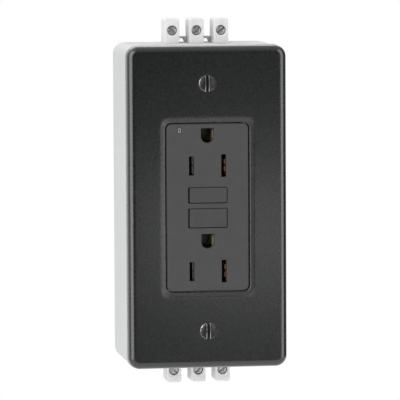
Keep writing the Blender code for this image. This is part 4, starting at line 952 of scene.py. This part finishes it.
def plate_rings():
    """Outer wall, rolled edge, face, sloped lip, collar and inside wall, as one endless row of rings."""
    front, back = plate_low.y, plate_high.y
    half_z = (plate_high.z - plate_low.z) / 2
    wall_y = front + PLATE_WALL
    lip_y = front + LIP_DEPTH
    outer = offsets(back, (0, -0.35), (-0.35, 0)) + quarter_round(EDGE_ROUND, front, 1, 10, EDGE_DEPTH)
    outer.append((front, -EDGE_ROUND - 0.5 * MM))
    opening = offsets(front, (0, 0.9), (0, 0.3), (0.03, 0.08), (0.08, -0.25), out=LIP)
    opening += [(lip_y, LIP_EDGE), (lip_y + 0.08 * MM, 0.6 * LIP_EDGE), (lip_y + 0.2 * MM, 0.2 * LIP_EDGE)]
    opening += [(lip_y + LIP_EDGE, 0.0)] + offsets(front, (4.2, 0), (4.2, 1.5))
    opening += offsets(wall_y, (0.3, 1.5), (0, 1.8))
    inside = offsets(wall_y, (0, -1.2), (0.3, -0.3), (1.2, 0), out=-PLATE_WALL) + [(back, -PLATE_WALL)]
    hole_x = face_high.x + OPENING_MARGIN
    hole_z = (face_high.z - face_low.z) / 2 + OPENING_MARGIN
    rings = []
    for levels, half_x, half, corner in (
        (outer, plate_high.x, half_z, OUTLINE_CORNER),
        (opening, hole_x, hole_z, OPENING_CORNER),
        (inside, plate_high.x, half_z, OUTLINE_CORNER),
    ):
        for y, growth in levels:
            rings.append(ring(half_x + growth, half + growth, max(corner + growth, 0.3 * MM), y, 9))
    return rings


def plate_moulding():
    plate = skin("cover_plate_moulding", plate_rings(), endless=True)
    front = plate_low.y
    boss_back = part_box("mounting_strap")[0].y - 0.6 * MM
    boss = offsets(front, (1, 0)) + offsets(boss_back, (-0.3, 0), (0, -0.3))
    sink = offsets(front, (-1, 1.42), (-0.02, 1.42), (0.08, 1.25), (0.32, 1.14), (1.9, -0.1))
    sink += offsets(plate_high.y, (2, -0.1))
    heights = [centre(f"cover_screw_{end}")[2] for end, sign in ENDS]
    combine(plate, "UNION", [drum("screw_boss", BOSS_RADIUS, boss, 0.0, z) for z in heights])
    combine(plate, "DIFFERENCE", [drum("screw_hole", SCREW_HOLE, sink, 0.0, z, 10) for z in heights])
    return dress(plate, CHARCOAL, 38)


cover_plate = plate_moulding()
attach(cover_plate, "root")
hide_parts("cover_plate")


# ---------------------------------------------------------------- cover screws
# Oval-head machine screws with a straight slot, blackened. Drivers have worn the black off along the edges
# of the slot and the rim of the head, where the steel shines through.


def worn_black_steel():
    """Blackened steel, bright beside the slot and round the rim of either head, with a few flecks."""
    finish = Finish("blackened_steel", {"Metallic": 1.0})
    side, height = finish.along(0), finish.along(2)
    away = abs(height) - centre("cover_screw_top")[2]
    edge = finish.between(abs(abs(side) - 0.72 * MM), 0.05 * MM, 0.17 * MM, 1.0, 0.0)
    squares = side * side + away * away
    radius = squares.maths("SQRT", squares)
    rim = finish.between(radius, 2.75 * MM, 3.1 * MM)
    blot = finish.noise(0.55 * MM, 3.0, 0.7)
    fleck = finish.between(finish.noise(0.3 * MM, 2.0, 0.5), 0.6, 0.72)
    wear = finish.between(blot + edge * 0.55 + rim * 0.35 + fleck * 0.2, 0.62, 1.0)
    stops = [(0.0, (0.035, 0.036, 0.035)), (0.35, (0.09, 0.088, 0.082)), (1.0, (0.62, 0.61, 0.58))]
    gloss = finish.between(wear + blot * 0.3, 0.1, 1.1, 0.42, 0.24)
    normal = finish.bumps((blot, 0.03 * MM))
    return finish.feed(Base_Color=finish.ramp(wear, stops), Roughness=gloss, Normal=normal)


BLACK_STEEL = worn_black_steel()
COVER_SLOT = (0.62 * MM, -0.35 * MM)
COVER_THREAD = {"Core_Radius": 1.27 * MM, "Ridge": 0.22 * MM, "Pitch": 0.8 * MM, "Top": -2.6 * MM}
COVER_THREAD["Turns"] = 10.0


def cover_screw(end):
    profile = offsets(0, (0, 0.85), (0.7, 0.83), (1.4, 0.74), (2.1, 0.56), (2.7, 0.3), (3.1, 0.05))
    profile += offsets(0, (3.28, -0.12), (3.2, -0.25), (1.55, -1.85), (1.45, -2.3), (1.25, -2.5))
    profile += offsets(0, (1.25, -11.0), (0.9, -11.5), (0, -11.5))
    name = f"cover_screw_{end}_turned"
    screw = slotted_screw(name, profile, COVER_SLOT, COVER_THREAD, BLACK_STEEL, 56)
    turned_to(screw, 0, plate_low.y, centre(f"cover_screw_{end}")[2], 0)
    return dress(screw, BLACK_STEEL)


for end, sign in ENDS:
    screw = cover_screw(end)
    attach(screw, "root")
    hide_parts(f"cover_screw_{end}")


# ---------------------------------------------------------------- inner works
# Behind the face the CAD shapes stay as they are: strap, housings, contacts, trip mechanism, board and
# wires. Each gets the finish of what it is made of; the ground clips also carry painted highlights.


def coloured_pvc(name, dark, light):
    """Insulation: extruded PVC with faint lengthwise streaks and a soft gloss."""
    finish = Finish(name, {"IOR": 1.5})
    streak = finish.noise(1.2 * MM, 3.0, 0.6)
    colour = finish.ramp(streak, [(0.3, dark), (0.7, light)])
    gloss = finish.between(streak, 0.3, 0.7, 0.32, 0.45)
    return finish.feed(Base_Color=colour, Roughness=gloss, Normal=finish.bumps((streak, 0.02 * MM)))


def moulded(name, dark, light, rough):
    """A hard moulded plastic with fine grain and slight mottling."""
    finish = Finish(name, {"IOR": 1.52})
    grain = finish.noise(0.3 * MM, 2.0, 0.6)
    cloud = finish.noise(4.0 * MM, 3.0, 0.6)
    colour = finish.ramp(cloud * 0.7 + grain * 0.3, [(0.3, dark), (0.7, light)])
    gloss = finish.between(grain, 0.3, 0.7, rough - 0.05, rough + 0.08)
    return finish.feed(Base_Color=colour, Roughness=gloss, Normal=finish.bumps((grain, 0.012 * MM)))


def repaint(finish, *nodes):
    for node in nodes:
        for place in frame["nodes"][node].material_slots:
            place.material = finish


def clip_with_painted_highlights(name, strength, corner):
    """Ground clip: dark brass with painted light: a highlight line down its right side, a glint near its top,
    a lighter bottom.
    """
    finish = Finish(name, {"Metallic": 0.35})
    side, height = finish.along(0), finish.along(2)
    top = ground_z[name.rsplit("_", 1)[1]] + GROUND_HEIGHT / 2
    blot = finish.noise(0.8 * MM, 3.0, 0.6)
    # Painted highlight: a bright line down the right side of the clip, set by strength.
    line = finish.between(side + blot * 0.3 * MM, 2.3 * MM, 2.5 * MM)
    line = line * finish.between(side, 3.5 * MM, 3.8 * MM, 1.0, 0.0)
    # Painted glint near the top of that line, set by corner.
    painted_glint = finish.between(height, top - 1.0 * MM, top - 0.5 * MM) * corner
    # Painted light: the bottom of the clip is made a little lighter.
    painted_light_bottom = finish.between(height, top - 4.7 * MM, top - 4.5 * MM, 1.0, 0.0)
    tone = line * (0.45 * strength + painted_glint * 0.55) + painted_light_bottom * 0.12 + blot * 0.08
    stops = [(0.0, (0.10, 0.10, 0.075)), (0.08, (0.13, 0.13, 0.10)), (0.2, (0.3, 0.27, 0.2))]
    stops += [(0.5, (0.75, 0.42, 0.18)), (1.0, (1.0, 0.86, 0.66))]
    gloss = finish.between(blot, 0.3, 0.7, 0.3, 0.45)
    return finish.feed(Base_Color=finish.ramp(tone, stops), Roughness=gloss)


COPPER = plated_steel("copper_alloy", (0.80, 0.32, 0.16), (1.0, 0.58, 0.32), 0.5, 1.4 * MM)
TARNISHED = plated_steel("tarnished_brass", (0.36, 0.36, 0.27), (0.66, 0.65, 0.52), 0.5, 1.2 * MM)
THERMOSET = moulded("dark_thermoset", (0.03, 0.03, 0.03), (0.05, 0.05, 0.05), 0.42)
GREEN_STEEL = plated_steel("green_screw_steel", (0.05, 0.20, 0.07), (0.12, 0.38, 0.15), 0.36)
BOARD = moulded("board_green", (0.01, 0.10, 0.04), (0.02, 0.16, 0.06), 0.3)
WINDING = plated_steel("enamelled_winding", (0.30, 0.09, 0.03), (0.55, 0.22, 0.08), 0.3, 0.5 * MM)
TERMINALS = ("line_hot", "line_neutral", "load_hot", "load_neutral")
repaint(ZINC, "mounting_strap", "device_screw_top", "device_screw_bottom", "reset_stem")
repaint(ZINC, "solenoid_plunger", "latch_plate", *[f"assembly_screw_{i}" for i in range(1, 5)])
repaint(ZINC, *[f"{terminal}_screw" for terminal in TERMINALS])
# The two clips get painted highlights of different strength, and only the upper one a painted glint.
repaint(clip_with_painted_highlights("ground_clip_upper", 1.5, 1.0), "ground_contact_upper")
repaint(clip_with_painted_highlights("ground_clip_lower", 2.3, 0.0), "ground_contact_lower")
repaint(BRASS, "test_leaf", *[f"{terminal}_terminal" for terminal in TERMINALS])
repaint(TARNISHED, "hot_contacts")
repaint(COPPER, "neutral_contacts", "contact_arm_hot", "contact_arm_neutral")
repaint(THERMOSET, "rear_housing", "latch_block", "sensing_transformer")
repaint(moulded("grey_thermoset", (0.16, 0.16, 0.15), (0.22, 0.22, 0.205), 0.42), "contact_housing")
repaint(GREEN_STEEL, "ground_screw")
repaint(BOARD, "circuit_board")
repaint(WINDING, "solenoid_coil")
black = coloured_pvc("wire_black", (0.012, 0.012, 0.013), (0.02, 0.02, 0.022))
repaint(black, "line_hot_wire", "load_hot_wire")
pale = coloured_pvc("wire_white", (0.62, 0.62, 0.6), (0.76, 0.76, 0.73))
repaint(pale, "line_neutral_wire", "load_neutral_wire")
repaint(coloured_pvc("wire_green", (0.015, 0.13, 0.04), (0.03, 0.2, 0.07)), "ground_wire")


# ---------------------------------------------------------------- studio
# A pale floor well below the outlet and a white room, which is bright behind the outlet on the left and dim
# in front. Soft lamps stand at both sides, above and low in front. The camera stands back with a long lens.


def aimed(name, place, target, size, watts):
    lamp = bpy.data.lights.new(name, "AREA")
    lamp.shape = "RECTANGLE"
    lamp.size, lamp.size_y = size
    lamp.energy = watts
    made = bpy.data.objects.new(name, lamp)
    bpy.context.scene.collection.objects.link(made)
    made.location = place
    made.rotation_euler = (Vector(target) - Vector(place)).to_track_quat("-Z", "Y").to_euler()
    made.visible_camera = False


def pale_room():
    """White as the camera sees it. What lights the outlet fades from back to front and from left to right."""
    world = bpy.data.worlds.new("pale_room")
    world.use_nodes = True
    bpy.context.scene.world = world
    graph = Graph(world.node_tree)
    looking = graph.add("ShaderNodeTexCoord", {}, {}, "Generated")
    side, ahead, up = [graph.add("ShaderNodeSeparateXYZ", {}, {0: looking}, index) for index in range(3)]

    def blend(value, start, end, low, high):
        limits = {"Value": value, "From Min": start, "From Max": end, "To Min": low, "To Max": high}
        return graph.add("ShaderNodeMapRange", {"clamp": True, "interpolation_type": "SMOOTHSTEP"}, limits)

    walls = blend(ahead, -0.5, 0.35, 0.0, 1.0) * blend(side, -0.5, 0.3, WALL_LEFT, WALL_RIGHT)
    ceiling = blend(up, 0.0, 1.2, 0.0, CEILING)
    seen = graph.add("ShaderNodeLightPath", {}, {}, "Is Camera Ray")
    strength = (walls + ceiling + FRONT_DIM) * (1 - seen) + seen
    world.node_tree.links.new(strength.socket, world.node_tree.nodes["Background"].inputs["Strength"])
    world.node_tree.nodes["Background"].inputs["Color"].default_value = (1.0, 1.0, 1.0, 1.0)


def pale_floor():
    """A pale round floor whose edge fades into the white of the room."""
    finish = Finish("pale_floor", {"Base Color": (0.5, 0.5, 0.5, 1.0), "Roughness": 0.9})
    finish.shader.inputs["Emission Color"].default_value = (1.0, 1.0, 1.0, 1.0)
    finish.shader.inputs["Emission Strength"].default_value = 0.42
    far = finish.add("ShaderNodeVectorMath", {"operation": "LENGTH"}, {0: finish.place}, 1)
    finish.feed(Alpha=finish.between(far, 0.3, 0.62, 1.0, 0.0))
    floor = turned("floor", [(0, -0.18), (0.65, -0.18), (0.65, -0.184), (0, -0.184)], 96)
    floor.data.materials.append(finish.material)
    return floor


def away_from(azimuth, elevation):
    """A unit step from the outlet: azimuth 0 is in front of it, 90 to its right as seen from the front."""
    side, rise = math.radians(azimuth), math.radians(elevation)
    return Vector((math.sin(side) * math.cos(rise), -math.cos(side) * math.cos(rise), math.sin(rise)))


FRONT_DIM = 0.02
WALL_LEFT = 0.75
WALL_RIGHT = 0.12
CEILING = 0.7
AIM = Vector((0.0, plate_low.y, 0.0))
LOW_CARD_AT = (0.0848, -0.4589, -0.0478)
LOW_CARD_AIM = (0.018, plate_low.y, -0.010)
pale_room()
pale_floor()
aimed("left_softbox", AIM + away_from(-51, 17) * 1.1, AIM, (1.0, 1.4), 12.0)
aimed("right_softbox", AIM + away_from(47, 7) * 1.1, AIM, (0.85, 1.4), 8.0)
aimed("top_softbox", AIM + away_from(-4, 145) * 1.0, AIM, (0.9, 0.5), 2.6)
aimed("low_card", LOW_CARD_AT, LOW_CARD_AIM, (0.12, 0.06), 0.031)

CAMERA_AZIMUTH = -8.37
CAMERA_ELEVATION = 4.67
CAMERA_ROLL = math.radians(-0.30)
CAMERA_DISTANCE = 1.46799
CAMERA_LENS = 338.94
FRAMING = (-3.07 * MM, 2.96 * MM)
camera_data = bpy.data.cameras.new("camera")
camera_data.sensor_width = 36.0
camera_data.lens = CAMERA_LENS
camera_data.clip_start = 0.05
camera_data.clip_end = 60.0
camera = bpy.data.objects.new("camera", camera_data)
bpy.context.scene.collection.objects.link(camera)
away = away_from(CAMERA_AZIMUTH, CAMERA_ELEVATION)
across = Vector((0, 0, 1)).cross(away).normalized()
upward = away.cross(across)
right = across * math.cos(CAMERA_ROLL) + upward * math.sin(CAMERA_ROLL)
up = upward * math.cos(CAMERA_ROLL) - across * math.sin(CAMERA_ROLL)
where = AIM + away * CAMERA_DISTANCE + right * FRAMING[0] + up * FRAMING[1]
camera.matrix_world = Matrix.Translation(where) @ Matrix((right, up, away)).transposed().to_4x4()
bpy.context.scene.camera = camera
bpy.context.scene.view_settings.view_transform = "Standard"
